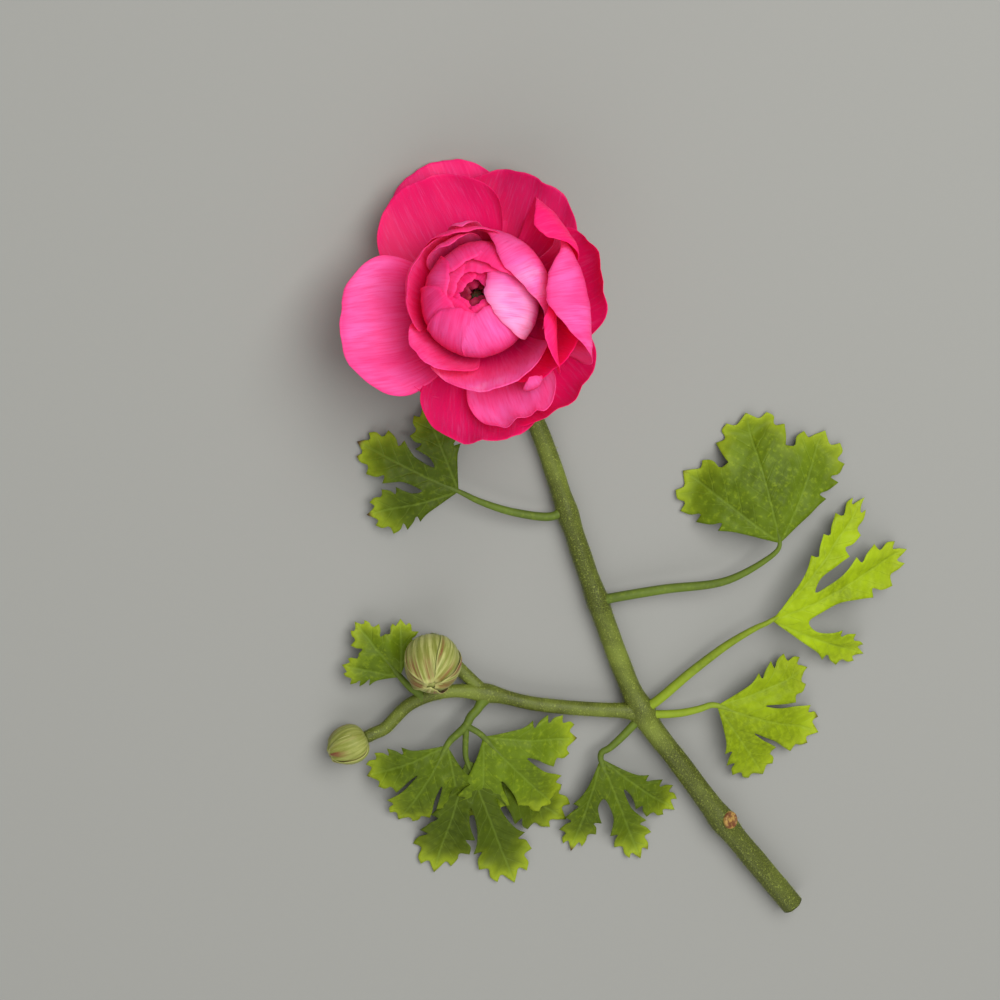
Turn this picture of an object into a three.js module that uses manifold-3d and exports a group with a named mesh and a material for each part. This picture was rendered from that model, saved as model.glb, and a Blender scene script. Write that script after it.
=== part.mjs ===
// A cut persian buttercup that lies on a flat surface: one open bloom on a bent neck, a stem with a side
// shoot that carries two buds, and leaves. Millimetres, +Z up, the surface at z = 0, +X from the bloom
// towards the cut end.

import * as THREE from 'three';
import { mergeVertices } from 'three/addons/utils/BufferGeometryUtils.js';
import Module from 'manifold-3d';

const wasm = await Module();
wasm.setup();

// Driving dimensions
const pieceGap = 0.3; // between a piece and what carries it
const petalThickness = 0.7;
const bladeThickness = 0.7;
const planCentre = [48.1, -11.5]; // middle of the whole plant seen from above, which becomes the origin

const bloomBase = [-45, 0.5, 22];
const bloomLean = 32; // degrees that the bloom's axis leans from upright, away from the stem
const bloomTurn = 61.8; // degrees that the petals' azimuth 0 is turned from the stem's plane
const petalRoot = [6, 1.1]; // radius and height where the open petals are rooted
const ballRoot = [3.5, 1.0];
const holeRadius = 2.5; // open hole in the top of the closed ball
const holeFloor = 15.6;

const neckRadius = 2.6;
const midRadius = 3.1;
const footRadius = 3.6;
const shootRadius = 2.3;
const pedicelRadius = 1.9;
const nodeSwelling = 0.9;
const nodeSpread = 4.5;

const toothDepth = 1.5; // how far a leaf's tooth stands out of its margin
const toothPlaces = [0.53, 0.79]; // shares of a lobe's length
const ribPlaces = [0.28, 0.55, 0.8, 1];

const budHeight = 18.4;
const budRadius = 8.8;
const smallBudHeight = 12.6;
const smallBudRadius = 6.0;
const budTwist = 34; // degrees that a bud's sepals turn from foot to tip

const openGrid = [7, 6]; // points across and along each kind of petal
const ringGrid = [6, 5];
const ballGrid = [5, 5];
const sepalGrid = [4, 5];

const colours = {
  petals: 0xd81b60,
  carpels: 0x3a2a14,
  sepals: 0x7f9a45,
  stem: 0x5c7427,
  bud: 0x9aa24d,
  leaf: 0x4f8a1f,
  brightLeaf: 0x8db52c,
};

const radians = THREE.MathUtils.degToRad;
const lerp = THREE.MathUtils.lerp;
const clamp = THREE.MathUtils.clamp;

// Solids

function solidOf(geometry) {
  geometry.deleteAttribute('normal');
  geometry.deleteAttribute('uv');
  const merged = mergeVertices(geometry, 1e-4);
  const corners = merged.index.array;
  const kept = [];
  for (let i = 0; i < corners.length; i += 3) {
    const [a, b, c] = [corners[i], corners[i + 1], corners[i + 2]];
    if (a !== b && b !== c && c !== a) kept.push(a, b, c);
  }
  return new wasm.Manifold(new wasm.Mesh({
    numProp: 3,
    vertProperties: new Float32Array(merged.attributes.position.array),
    triVerts: new Uint32Array(kept),
  }));
}

// The outer body of a joined solid. Pockets that joining has sealed are filled, and loose scraps are dropped.
function outerBody(solid) {
  const bodies = solid.decompose();
  bodies.sort((a, b) => b.volume() - a.volume());
  return bodies[0];
}

function joined(solids) {
  let whole = solids[0];
  for (const solid of solids.slice(1)) whole = whole.add(solid);
  return outerBody(whole.simplify(0.15));
}

function geometryOf(solid) {
  const mesh = solid.getMesh();
  const geometry = new THREE.BufferGeometry();
  geometry.setAttribute('position', new THREE.BufferAttribute(new Float32Array(mesh.vertProperties), 3));
  geometry.setIndex(new THREE.BufferAttribute(new Uint32Array(mesh.triVerts), 1));
  geometry.computeVertexNormals();
  return geometry;
}

function closedGeometry(vertices, triangles) {
  const geometry = new THREE.BufferGeometry();
  const places = vertices.flatMap((p) => p.toArray());
  geometry.setAttribute('position', new THREE.Float32BufferAttribute(places, 3));
  geometry.setIndex(triangles.flat());
  return geometry;
}

// A solid of revolution about +Z from a profile of radius and height pairs.
function turned(profile, sides) {
  const points = profile.map(([radius, height]) => new THREE.Vector2(radius, height));
  return solidOf(new THREE.LatheGeometry(points, sides).rotateX(Math.PI / 2));
}

// A thin solid about a grid of points, split into triangles alike on both faces.
function sheet(grid, thickness) {
  const columns = grid.length;
  const rows = grid[0].length;
  const upper = [];
  const lower = [];
  for (let i = 0; i < columns; i++) {
    for (let j = 0; j < rows; j++) {
      const across = grid[Math.min(i + 1, columns - 1)][j].clone().sub(grid[Math.max(i - 1, 0)][j]);
      const along = grid[i][Math.min(j + 1, rows - 1)].clone().sub(grid[i][Math.max(j - 1, 0)]);
      const offset = across.cross(along).setLength(thickness / 2);
      upper.push(grid[i][j].clone().add(offset));
      lower.push(grid[i][j].clone().sub(offset));
    }
  }
  const size = columns * rows;
  const at = (i, j) => i * rows + j;
  const triangles = [];
  for (let i = 0; i + 1 < columns; i++) {
    for (let j = 0; j + 1 < rows; j++) {
      const [a, b, c, d] = [at(i, j), at(i + 1, j), at(i + 1, j + 1), at(i, j + 1)];
      triangles.push([a, b, c], [a, c, d]);
      triangles.push([a + size, c + size, b + size], [a + size, d + size, c + size]);
    }
  }
  const rim = [];
  for (let i = 0; i + 1 < columns; i++) rim.push(at(i, 0));
  for (let j = 0; j + 1 < rows; j++) rim.push(at(columns - 1, j));
  for (let i = columns - 1; i > 0; i--) rim.push(at(i, rows - 1));
  for (let j = rows - 1; j > 0; j--) rim.push(at(0, j));
  rim.forEach((a, k) => {
    const b = rim[(k + 1) % rim.length];
    triangles.push([b, a, a + size], [b, a + size, b + size]);
  });
  return solidOf(closedGeometry([...upper, ...lower], triangles));
}

// A closed solid over rings of points, listed one ring after another, with a point that closes each end.
function ringSolid(rings, sides, foot, tip) {
  const last = rings.length / sides - 1;
  const triangles = [];
  for (let k = 0; k < sides; k++) {
    const next = (k + 1) % sides;
    for (let i = 0; i < last; i++) {
      const [a, b] = [i * sides + k, i * sides + next];
      triangles.push([a, b, b + sides], [a, b + sides, a + sides]);
    }
    triangles.push([rings.length, next, k]);
    triangles.push([rings.length + 1, last * sides + k, last * sides + next]);
  }
  return solidOf(closedGeometry([...rings, foot, tip], triangles));
}

// A closed tube along a smooth curve. radiusAt takes the share of the length and the distance in millimetres.
function tube(route, radiusAt, sides, steps) {
  const curve = new THREE.CatmullRomCurve3(route.map((p) => new THREE.Vector3(...p)), false, 'centripetal');
  const frames = curve.computeFrenetFrames(steps);
  const length = curve.getLength();
  const rings = [];
  for (let i = 0; i <= steps; i++) {
    const centre = curve.getPointAt(i / steps);
    const radius = radiusAt(i / steps, (length * i) / steps);
    for (let k = 0; k < sides; k++) {
      const angle = (2 * Math.PI * k) / sides;
      const out = frames.normals[i].clone().multiplyScalar(Math.cos(angle) * radius);
      out.addScaledVector(frames.binormals[i], Math.sin(angle) * radius);
      rings.push(out.add(centre));
    }
  }
  return ringSolid(rings, sides, curve.getPointAt(0), curve.getPointAt(1));
}

// Petals

function bezier(a, b, c, d, t) {
  const s = 1 - t;
  return {
    value: s ** 3 * a + 3 * s * s * t * b + 3 * s * t * t * c + t ** 3 * d,
    slope: 3 * s * s * (b - a) + 6 * s * t * (c - b) + 3 * t * t * (d - c),
  };
}

// A point of a petal's middle surface. u runs across it from -1 to 1 and v from its root to its tip. The
// profile root, low, high, tip holds radius and height pairs, and the petal curls round a cylinder of
// radius curve.
function petalPoint(petal, u, v) {
  const notch = (petal.notch ?? 0) * Math.exp(-(((u - 0.35) / 0.13) ** 2)) * v ** 6;
  const t = v * (1 - petal.round * Math.abs(u) ** petal.power * v * v) - notch;
  const r = bezier(petal.root[0], petal.low[0], petal.high[0], petal.tip[0], t);
  const z = bezier(petal.root[1], petal.low[1], petal.high[1], petal.tip[1], t);
  const length = Math.hypot(r.slope, z.slope);
  const inward = [-z.slope / length, r.slope / length];
  const grown = Math.sin((Math.PI / 2) * Math.min(1, t / 0.62)) ** 1.2;
  const fade = clamp((t - 0.62) / 0.38, 0, 1);
  const width = petal.half * (petal.claw + (1 - petal.claw) * grown) * (1 - petal.narrow * fade * fade);
  const across = u * width;
  const curve = lerp(petal.curve[0], petal.curve[1], t);
  const side = curve * Math.sin(across / curve);
  const cup = curve * (1 - Math.cos(across / curve));
  const wave = 0.6 * Math.sin(6.6 * u + petal.phase) + 0.4 * Math.sin(12.3 * u + 2.3 * petal.phase);
  const margin = Math.max(Math.abs(u) ** 4, v ** 3);
  const push = cup + petal.ruffle * wave * margin * v - petal.flare * v ** 5;
  const radius = r.value + inward[0] * push;
  const azimuth = radians(petal.at);
  return new THREE.Vector3(
    radius * Math.cos(azimuth) - side * Math.sin(azimuth),
    radius * Math.sin(azimuth) + side * Math.cos(azimuth),
    z.value + inward[1] * push,
  );
}

function petalSheet(petal, columns, rows) {
  const grid = [];
  for (let i = 0; i < columns; i++) {
    const u = -1 + (2 * i) / (columns - 1);
    grid.push([]);
    for (let j = 0; j < rows; j++) grid[i].push(petalPoint(petal, u, j / (rows - 1)));
  }
  return sheet(grid, petalThickness);
}

// An open petal that spreads from the bloom's foot to a given reach and height.
function openPetal(at, reach, rise, half, phase, more = {}) {
  return {
    at, half, phase,
    root: petalRoot,
    low: [reach * 0.38, 0.4],
    high: [reach * 0.8, rise * 0.35],
    tip: [reach, rise],
    curve: [45, 75], ruffle: 0.9, flare: 0, round: 0.36, power: 2.6, claw: 0.35, narrow: 0.08,
    ...more,
  };
}

// A petal that stands up and cups the ball. belly is its widest radius and rim the radius of its top edge.
function cuppedPetal(at, belly, rim, top, half, phase, more = {}) {
  const control = (belly - 0.125 * (ballRoot[0] + rim)) / 0.75;
  return {
    at, half, phase,
    root: ballRoot,
    low: [control, 1],
    high: [control, top * 0.86],
    tip: [rim, top],
    curve: [belly, belly], ruffle: 0.4, flare: 0, round: 0.36, power: 2.6, claw: 0.4, narrow: 0.1,
    ...more,
  };
}

const straightEdge = { round: 0.26, power: 3.4 };

const openPetals = [
  openPetal(106, 47.5, 4.0, 24, 0.4, { high: [38, 1.0] }),
  openPetal(66, 42, 15, 20, 2.4, { high: [37, 2] }),
  openPetal(128, 43, 7, 22, 1.7, { low: [16, 2.0], high: [34, 2.8], flare: -0.8 }),
  openPetal(188, 40.5, 14, 21.5, 2.8, { low: [15, 2.6], high: [34, 5.5], flare: 1.2 }),
  openPetal(222, 37, 8.5, 17, 5.2, { high: [32, 0.8] }),
  openPetal(262, 40, 12.5, 21, 0.9, { low: [15, 1.2], high: [34, 2.2] }),
  openPetal(318, 38, 14, 20, 4.1, { high: [36, 1.0] }),
  openPetal(14, 37.5, 15, 18, 3.1, { high: [37, 0.8] }),
  openPetal(292, 35, 17, 18, 1.2, { low: [16, 2.2], high: [35, 4.0], notch: 0.12, ruffle: 1.1 }),
];

const ringPetals = [
  cuppedPetal(6, 35.5, 25, 25, 21, 1.0, { curve: [34, 30] }),
  cuppedPetal(50, 32, 25.5, 26, 16, 2.0, { curve: [30, 26] }),
  cuppedPetal(330, 31, 30, 20, 14, 3.3, { curve: [30, 30] }),
  cuppedPetal(266, 27.8, 28, 19.5, 22, 0.7, { curve: [26, 26], flare: 1.0 }),
  cuppedPetal(218, 24.4, 24.4, 21, 18, 2.2, { curve: [23, 23], flare: 0.8 }),
  cuppedPetal(330, 25.5, 22.5, 24, 13, 5.0, { curve: [25, 22] }),
  cuppedPetal(172, 18.8, 18.5, 24.5, 18, 4.0, { curve: [18, 18] }),
  cuppedPetal(108, 19.8, 18, 24.5, 15, 1.4, { curve: [19, 18] }),
  cuppedPetal(24, 22, 11, 26, 25, 0.2, { curve: [22, 19], ruffle: 0.2, round: 0.3 }),
];

const ballPetals = [
  cuppedPetal(296, 17.0, 5.5, 24.2, 16.5, 0.4, straightEdge),
  cuppedPetal(236, 16.6, 5.5, 23.8, 16.5, 1.4, straightEdge),
  cuppedPetal(352, 16.6, 3.4, 25.0, 15.5, 3.0, straightEdge),
  cuppedPetal(62, 16.8, 9.0, 24.6, 15, 3.4, straightEdge),
  cuppedPetal(96, 15.8, 6.0, 24.2, 14, 4.4, straightEdge),
  cuppedPetal(150, 15.6, 4.5, 24.0, 14.5, 5.4, straightEdge),
  cuppedPetal(192, 15.8, 5.5, 23.6, 14.5, 0.9, straightEdge),
  cuppedPetal(262, 14.8, 3.6, 23.0, 13, 1.9, straightEdge),
  cuppedPetal(124, 14.4, 3.0, 23.0, 12, 4.9, straightEdge),
  cuppedPetal(20, 14.0, 3.0, 22.8, 12, 1.1, straightEdge),
];

// The smaller core of the ball, which the petals stand out of, open at the top.
function ballCore() {
  return turned([
    [0, 0.3], [9.6, 0.3], [12.4, 3.4], [14.2, 7.6], [14.6, 12], [13.2, 16.8], [9.8, 20.2], [6.0, 21.6],
    [holeRadius + 0.8, 21.2], [holeRadius, holeFloor], [0, holeFloor],
  ], 18);
}

function bloomSolid() {
  return joined([
    ballCore(),
    ...openPetals.map((petal) => petalSheet(petal, ...openGrid)),
    ...ringPetals.map((petal) => petalSheet(petal, ...ringGrid)),
    ...ballPetals.map((petal) => petalSheet(petal, ...ballGrid)),
  ]);
}

function carpelHead() {
  const foot = holeFloor + pieceGap;
  return turned([[0, foot], [1.7, foot], [1.9, foot + 1.4], [1.3, foot + 3.0], [0, foot + 3.6]], 10);
}

// Five sepals bent back round the neck, on a collar under the petals.
function calyxSolid() {
  const collar = turned([[0, -2.3], [3.4, -2.3], [4.4, -1.3], [3.6, -pieceGap], [0, -pieceGap]], 10);
  const sepals = [];
  for (let k = 0; k < 5; k++) {
    sepals.push(petalSheet({
      at: 20 + 72 * k, half: 4.4, phase: k,
      root: [2.2, -1.3], low: [6.5, -1.2], high: [10.5, -2.4], tip: [11.5, -8],
      curve: [6, 9], ruffle: 0.2, flare: 0, round: 0.5, power: 2, claw: 0.5, narrow: 0.4,
    }, ...sepalGrid));
  }
  return joined([collar, ...sepals]);
}

// A closed bud whose five sepals each overlap the next, as a step round it. Its foot is at the origin and
// its tip on +Z. The profile holds shares of the radius and the height, and a step a share of a sepal's
// width and of the radius.
function budSolid(radius, height, turn) {
  const profile = [
    [0.3, 0], [0.7, 0.07], [0.92, 0.21], [1, 0.38], [0.98, 0.53],
    [0.86, 0.69], [0.64, 0.83], [0.36, 0.94], [0.1, 0.985],
  ];
  const steps = [[0, 0.89], [0.25, 0.95], [0.55, 0.99], [0.95, 1]];
  const rings = [];
  for (const [across, up] of profile) {
    for (let k = 0; k < 5; k++) {
      for (const [share, size] of steps) {
        const angle = radians(turn + 72 * (k + share) + budTwist * up);
        const out = radius * across * size;
        rings.push(new THREE.Vector3(out * Math.cos(angle), out * Math.sin(angle), height * up));
      }
    }
  }
  return ringSolid(rings, 5 * steps.length, new THREE.Vector3(0, 0, 0), new THREE.Vector3(0, 0, height));
}

// Stem

const bloomPlace = new THREE.Matrix4().makeTranslation(...bloomBase)
  .multiply(new THREE.Matrix4().makeRotationY(-radians(bloomLean)));

function inBloomPlane(x, z) {
  return new THREE.Vector3(x, 0, z).applyMatrix4(bloomPlace).toArray();
}

const stemRoute = [
  inBloomPlane(0, -2.4 - pieceGap),
  inBloomPlane(0.3, -8),
  [-34.5, 0.3, 7.6],
  [-24, 0.1, 3.9],
  [-10, -0.4, 3.0],
  [3.4, -1, 3.1],
  [54, -8.7, 3.9],
  [99, -13.4, 4.1],
  [122, -10.4, 4.2],
  [144.8, -7.2, 4.4],
  [183, 0, 4.0],
];
const topNode = [30, -4.9, 3.5];
const upperNode = [60, -9.6, 4.0];
const mainNode = [99, -13.4, 4.1];
const scarPlace = [144.8, -7.2, 4.4];
const shootNode = [68.6, -53.2, 5];

const budTilt = new THREE.Vector3(0.255, -0.297, 0.92).normalize();
const budFoot = new THREE.Vector3(45.6, -60.2, 7.6);
const smallBudTilt = new THREE.Vector3(-0.1, -0.98, 0.1).normalize();
const smallBudFoot = new THREE.Vector3(62.4, -91.5, 6.3);

// A point of a bud's stalk, straight behind the bud's foot.
function behind(foot, tilt, distance) {
  return foot.clone().addScaledVector(tilt, -distance).toArray();
}

const shootRoute = [
  mainNode, [90, -27, 5], [79, -42, 5.2], shootNode, [62, -64, 4.8], [60.3, -75, 4.6],
  behind(smallBudFoot, smallBudTilt, 6), behind(smallBudFoot, smallBudTilt, 3),
  behind(smallBudFoot, smallBudTilt, pieceGap),
];
const pedicelRoute = [
  shootNode, [58, -56.5, 3.4], [49, -58.4, 2.6],
  behind(budFoot, budTilt, 3), behind(budFoot, budTilt, pieceGap),
];

// The extra radius of a node's swelling on a route, from its distance along the route.
function swelling(distance, nodeDistance) {
  return nodeSwelling * Math.exp(-(((distance - nodeDistance) / nodeSpread) ** 2));
}

function distanceAlong(route, place) {
  const curve = new THREE.CatmullRomCurve3(route.map((p) => new THREE.Vector3(...p)), false, 'centripetal');
  const target = new THREE.Vector3(...place);
  const samples = curve.getSpacedPoints(400);
  let best = 0;
  samples.forEach((point, i) => {
    if (point.distanceTo(target) < samples[best].distanceTo(target)) best = i;
  });
  return (curve.getLength() * best) / 400;
}

function stemSolid() {
  const mainAt = distanceAlong(stemRoute, mainNode);
  const scarAt = distanceAlong(stemRoute, scarPlace);
  const upperAt = distanceAlong(stemRoute, upperNode);
  const topAt = distanceAlong(stemRoute, topNode);
  const shootAt = distanceAlong(shootRoute, shootNode);
  const main = tube(stemRoute, (share, distance) => {
    const upper = lerp(neckRadius, midRadius, share * 2);
    const plain = share < 0.5 ? upper : lerp(midRadius, footRadius, share * 2 - 1);
    const small = 0.5 * (swelling(distance, upperAt) + swelling(distance, topAt));
    return plain + swelling(distance, mainAt) + 0.8 * swelling(distance, scarAt) + small;
  }, 9, 48);
  const shoot = tube(shootRoute, (share, distance) => (
    lerp(shootRadius, pedicelRadius, share) + swelling(distance, shootAt)
  ), 8, 18);
  const pedicel = tube(pedicelRoute, () => pedicelRadius, 8, 8);
  const scar = turned([[0, -1.2], [2.7, -1.2], [2.5, 0.9], [1.7, 1.25], [0, 0.9]], 10);
  const scarTilt = new THREE.Matrix4().makeRotationX(radians(-38));
  const scarShift = new THREE.Matrix4().makeTranslation(scarPlace[0], scarPlace[1] + 2.1, scarPlace[2] + 2.7);
  const placed = scar.transform(scarShift.multiply(scarTilt).toArray());
  return joined([main, shoot, pedicel, placed]);
}

// Leaves

// Half the width of a lobe at a share of its length.
function lobeWidth(lobe, share) {
  if (share < 0.6) return lobe.width * (share / 0.6) ** 0.9;
  return lobe.width * Math.sqrt(Math.max(0, 1 - ((share - 0.6) / 0.4) ** 2));
}

// A point of a leaflet's plan: how far it lies along the leaflet, across it and from the rib of its own lobe.
function planPoint(lobe, share, offset) {
  const angle = radians(lobe.angle);
  const along = share * lobe.reach;
  return {
    along: along * Math.cos(angle) - offset * Math.sin(angle),
    across: along * Math.sin(angle) + offset * Math.cos(angle),
    fromRib: Math.abs(offset),
  };
}

// The bottom of the cut between two lobes, or a point on the line from the leaflet's foot to it.
function cutPoint(leaflet, one, other, share) {
  const middle = radians((one.angle + other.angle) / 2);
  const depth = share * leaflet.sinus * Math.min(one.reach, other.reach);
  return {
    along: depth * Math.cos(middle),
    across: depth * Math.sin(middle),
    fromRib: depth * Math.sin(Math.abs(radians(one.angle - other.angle)) / 2),
  };
}

// The toothed margin of one side of a lobe, from the foot to the tip. side is 1 to the left and -1 to the
// right, and from is the share of the length where the margin leaves its neighbour or, outside, the stalk.
function lobeMargin(lobe, side, from, teeth) {
  const points = [];
  let last = from;
  for (const tooth of toothPlaces.slice(-teeth)) {
    const waist = lerp(last, tooth, 0.3);
    points.push(planPoint(lobe, waist, side * lobeWidth(lobe, waist) * 0.62));
    points.push(planPoint(lobe, tooth, side * (lobeWidth(lobe, tooth - 0.05) + toothDepth)));
    last = tooth;
  }
  points.push(planPoint(lobe, last + 0.07, side * lobeWidth(lobe, last + 0.07) * 0.6));
  return points;
}

// One side of a lobe in plan: a ring out along the rib and back along the margin, which is its last points.
function halfLobe(leaflet, k, side) {
  const lobe = leaflet.lobes[k];
  const neighbour = leaflet.lobes[k - side];
  const foot = planPoint(lobe, 0, 0);
  const rib = ribPlaces.map((share) => planPoint(lobe, share, 0));
  if (!neighbour) {
    const margin = lobeMargin(lobe, side, 0.3, lobe.teeth);
    return { inner: [], rib: [foot, ...rib], margin: [...margin.reverse(), foot] };
  }
  const cut = cutPoint(leaflet, lobe, neighbour, 1);
  const inner = cutPoint(leaflet, lobe, neighbour, 0.55);
  const margin = lobeMargin(lobe, side, leaflet.sinus + 0.1, 1);
  return { inner: [inner], rib: [foot, ...rib], margin: [...margin.reverse(), cut] };
}

// A leaflet bends down along its length with a given radius, droops to its sides and folds up along its ribs.
// Where it meets the surface it lies flat on it.
function leafletPoint(leaflet, point) {
  const pitch = radians(leaflet.pitch);
  const bent = pitch - point.along / leaflet.bend;
  const ahead = leaflet.bend * (Math.sin(pitch) - Math.sin(bent));
  const rise = leaflet.bend * (Math.cos(bent) - Math.cos(pitch));
  const droop = (point.across * point.across) / (2 * leaflet.droop);
  const outward = (point.along * point.along + point.across * point.across) / 900;
  const wave = 0.6 * outward * Math.sin(0.45 * point.across + 0.2 * point.along + leaflet.heading);
  const up = rise - droop + leaflet.fold * point.fromRib + wave;
  const heading = radians(leaflet.heading);
  return new THREE.Vector3(
    leaflet.foot[0] + ahead * Math.cos(heading) - point.across * Math.sin(heading),
    leaflet.foot[1] + ahead * Math.sin(heading) + point.across * Math.cos(heading),
    Math.max(leaflet.foot[2] + up, bladeThickness / 2 + 0.02),
  );
}

// The blade of a leaflet: its half lobes side by side, each split into triangles alike on both faces.
function leafletSolid(leaflet) {
  const vertices = [];
  const triangles = [];
  const half = new THREE.Vector3(0, 0, bladeThickness / 2);
  for (let k = 0; k < leaflet.lobes.length; k++) {
    for (const side of [1, -1]) {
      const { inner, rib, margin } = halfLobe(leaflet, k, side);
      const ring = [...rib, ...margin.filter((point) => point !== rib[0]), ...inner];
      const first = vertices.length;
      const size = ring.length;
      const middle = ring.map((point) => leafletPoint(leaflet, point));
      vertices.push(...middle.map((p) => p.clone().add(half)), ...middle.map((p) => p.clone().sub(half)));
      const plan = ring.map((point) => new THREE.Vector2(point.along, point.across));
      for (const [a, b, c] of THREE.ShapeUtils.triangulateShape(plan, [])) {
        triangles.push([first + a, first + b, first + c]);
        triangles.push([first + a + size, first + c + size, first + b + size]);
      }
      for (let i = 0; i < margin.length; i++) {
        const ends = [first + rib.length - 1 + i, first + ((rib.length + i) % size)];
        const [a, b] = side > 0 ? ends : ends.reverse();
        triangles.push([b, a, a + size], [b, a + size, b + size]);
      }
    }
  }
  return solidOf(closedGeometry(vertices, triangles));
}

// A leaf's stalk and its leaflets in one solid. Each leaflet's own stalk runs from the end of the leaf's
// stalk.
function leafSolid(leaf) {
  const stalk = tube(leaf.stalk, (share) => lerp(leaf.radius, leaf.radius * 0.8, share), 6, 7);
  const pieces = [stalk];
  const end = leaf.stalk.at(-1);
  for (const leaflet of leaf.leaflets) {
    const heading = radians(leaflet.heading);
    const inside = leafletPoint(leaflet, { along: 6, across: 0, fromRib: 0 }).toArray();
    const before = [
      leaflet.foot[0] - 3 * Math.cos(heading), leaflet.foot[1] - 3 * Math.sin(heading), leaflet.foot[2] - 0.2,
    ];
    const route = [end, before, leaflet.foot, inside];
    pieces.push(tube(route, (share) => lerp(leaf.radius * 0.8, 0.45, share), 5, 5));
    pieces.push(leafletSolid(leaflet));
  }
  return joined(pieces);
}

function threeLobed(reach, spread, width = 0.2) {
  return [
    { angle: spread, reach: reach * 0.8, width: reach * width, teeth: 2 },
    { angle: 0, reach, width: reach * width, teeth: 2 },
    { angle: -spread, reach: reach * 0.8, width: reach * width, teeth: 2 },
  ];
}

// A leaflet with its usual bending. sinus is the share of the lobes' length that is left uncut.
function leaflet(foot, heading, sinus, lobes, more = {}) {
  return { foot, heading, sinus, lobes, pitch: 10, bend: 42, droop: 42, fold: 0.14, ...more };
}

const leaves = [
  {
    name: 'leaf_neck',
    colour: colours.leaf,
    radius: 1.3,
    stalk: [[28.2, -9.0, 4.6], [21, -19, 5.6], [12, -27, 6.4]],
    leaflets: [leaflet([6, -31, 6.8], 216, 0.42, threeLobed(34, 42, 0.18))],
  },
  {
    name: 'leaf_upper',
    colour: colours.leaf,
    radius: 1.5,
    stalk: [[60.5, -5.6, 5.2], [66, 10, 5.6], [72.5, 28, 7.4], [72, 42, 9]],
    leaflets: [leaflet([69, 48, 9.5], 167, 0.66, threeLobed(44, 36, 0.23), { droop: 30 })],
  },
  {
    name: 'leaf_trident',
    colour: colours.brightLeaf,
    radius: 1.5,
    stalk: [[98.1, -8.9, 5.4], [94.5, 6, 6], [91.5, 20, 7.5], [90.5, 30, 8.8]],
    leaflets: [leaflet([90.5, 35, 9.3], 95, 0.34, [
      { angle: 17, reach: 47, width: 4.2, teeth: 2 },
      { angle: -9, reach: 49, width: 6.2, teeth: 2 },
      { angle: -58, reach: 34, width: 4.6, teeth: 1 },
    ], { pitch: 14, bend: 52 })],
  },
  {
    name: 'leaf_bright',
    colour: colours.brightLeaf,
    radius: 1.3,
    stalk: [[102.6, -8.7, 5.2], [105, -3, 6.2], [106.5, 3, 7]],
    leaflets: [leaflet([108, 8, 7.4], 42, 0.5, threeLobed(38, 36, 0.18))],
  },
  {
    name: 'leaf_forked',
    colour: colours.leaf,
    radius: 1.3,
    stalk: [[101.5, -17.7, 5.0], [103, -23, 5.8], [104, -28, 6.4]],
    leaflets: [leaflet([105.5, -31.5, 6.6], -8, 0.4, [
      { angle: 30, reach: 32, width: 5, teeth: 2 },
      { angle: 2, reach: 42, width: 4.8, teeth: 1 },
      { angle: -32, reach: 33, width: 4.6, teeth: 2 },
    ])],
  },
  {
    name: 'leaf_shoot',
    colour: colours.leaf,
    radius: 1.4,
    stalk: [[71.4, -57.9, 7.1], [72, -60.5, 8], [73.5, -63, 9]],
    leaflets: [
      leaflet([76, -71, 9.6], -54, 0.5, threeLobed(32, 38, 0.19), { bend: 34 }),
      leaflet([79, -60, 10], 14, 0.52, threeLobed(37, 40, 0.19)),
      leaflet([84, -68, 8.4], -7, 0.38, threeLobed(50, 32, 0.15), { pitch: 6, bend: 60 }),
    ],
  },
  {
    name: 'leaf_bud',
    colour: colours.leaf,
    radius: 1.1,
    stalk: [[57.7, -71.4, 4.7], [57, -71.8, 4.8], [56, -72.3, 4.9]],
    leaflets: [leaflet([50.6, -73.6, 5.1], 190, 0.45, threeLobed(22, 38, 0.18))],
  },
];

// Assembly

function piece(name, solid, colour, roughness) {
  const material = new THREE.MeshStandardMaterial({ color: colour, roughness, metalness: 0 });
  const mesh = new THREE.Mesh(geometryOf(solid), material);
  mesh.name = name;
  return mesh;
}

const bloomUpright = new THREE.Group();
bloomUpright.rotation.z = radians(bloomTurn);
bloomUpright.add(piece('petals', bloomSolid(), colours.petals, 0.6));
bloomUpright.add(piece('carpel_head', carpelHead(), colours.carpels, 0.7));
bloomUpright.add(piece('calyx', calyxSolid(), colours.sepals, 0.7));

const bloom = new THREE.Group();
bloom.position.set(...bloomBase);
bloom.rotation.y = -radians(bloomLean);
bloom.add(bloomUpright);

function placedBud(name, solid, foot, tilt) {
  const bud = piece(name, solid, colours.bud, 0.7);
  bud.position.copy(foot);
  bud.quaternion.setFromUnitVectors(new THREE.Vector3(0, 0, 1), tilt);
  return bud;
}

const plant = new THREE.Group();
plant.position.set(-planCentre[0], -planCentre[1], 0);
plant.add(bloom);
plant.add(piece('flower_stem', stemSolid(), colours.stem, 0.7));
plant.add(placedBud('bud', budSolid(budRadius, budHeight, 30), budFoot, budTilt));
plant.add(placedBud('small_bud', budSolid(smallBudRadius, smallBudHeight, 12), smallBudFoot, smallBudTilt));
for (const leaf of leaves) plant.add(piece(leaf.name, leafSolid(leaf), leaf.colour, 0.7));

const flower = new THREE.Group();
flower.add(plant);
export default flower;
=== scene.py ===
"""Dresses a cut persian buttercup: papery petals in their layers, a hairy stem, striped buds and cut leaves.

The flower lies on the surface z = 0. Sizes in the plant's own frame are in millimetres, with +X from the
bloom towards the cut end. to_row turns them into metres in the frame's row.
"""

import math

import bpy
import numpy as np
from mathutils import Matrix, Vector
from mathutils.geometry import delaunay_2d_cdt


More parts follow.
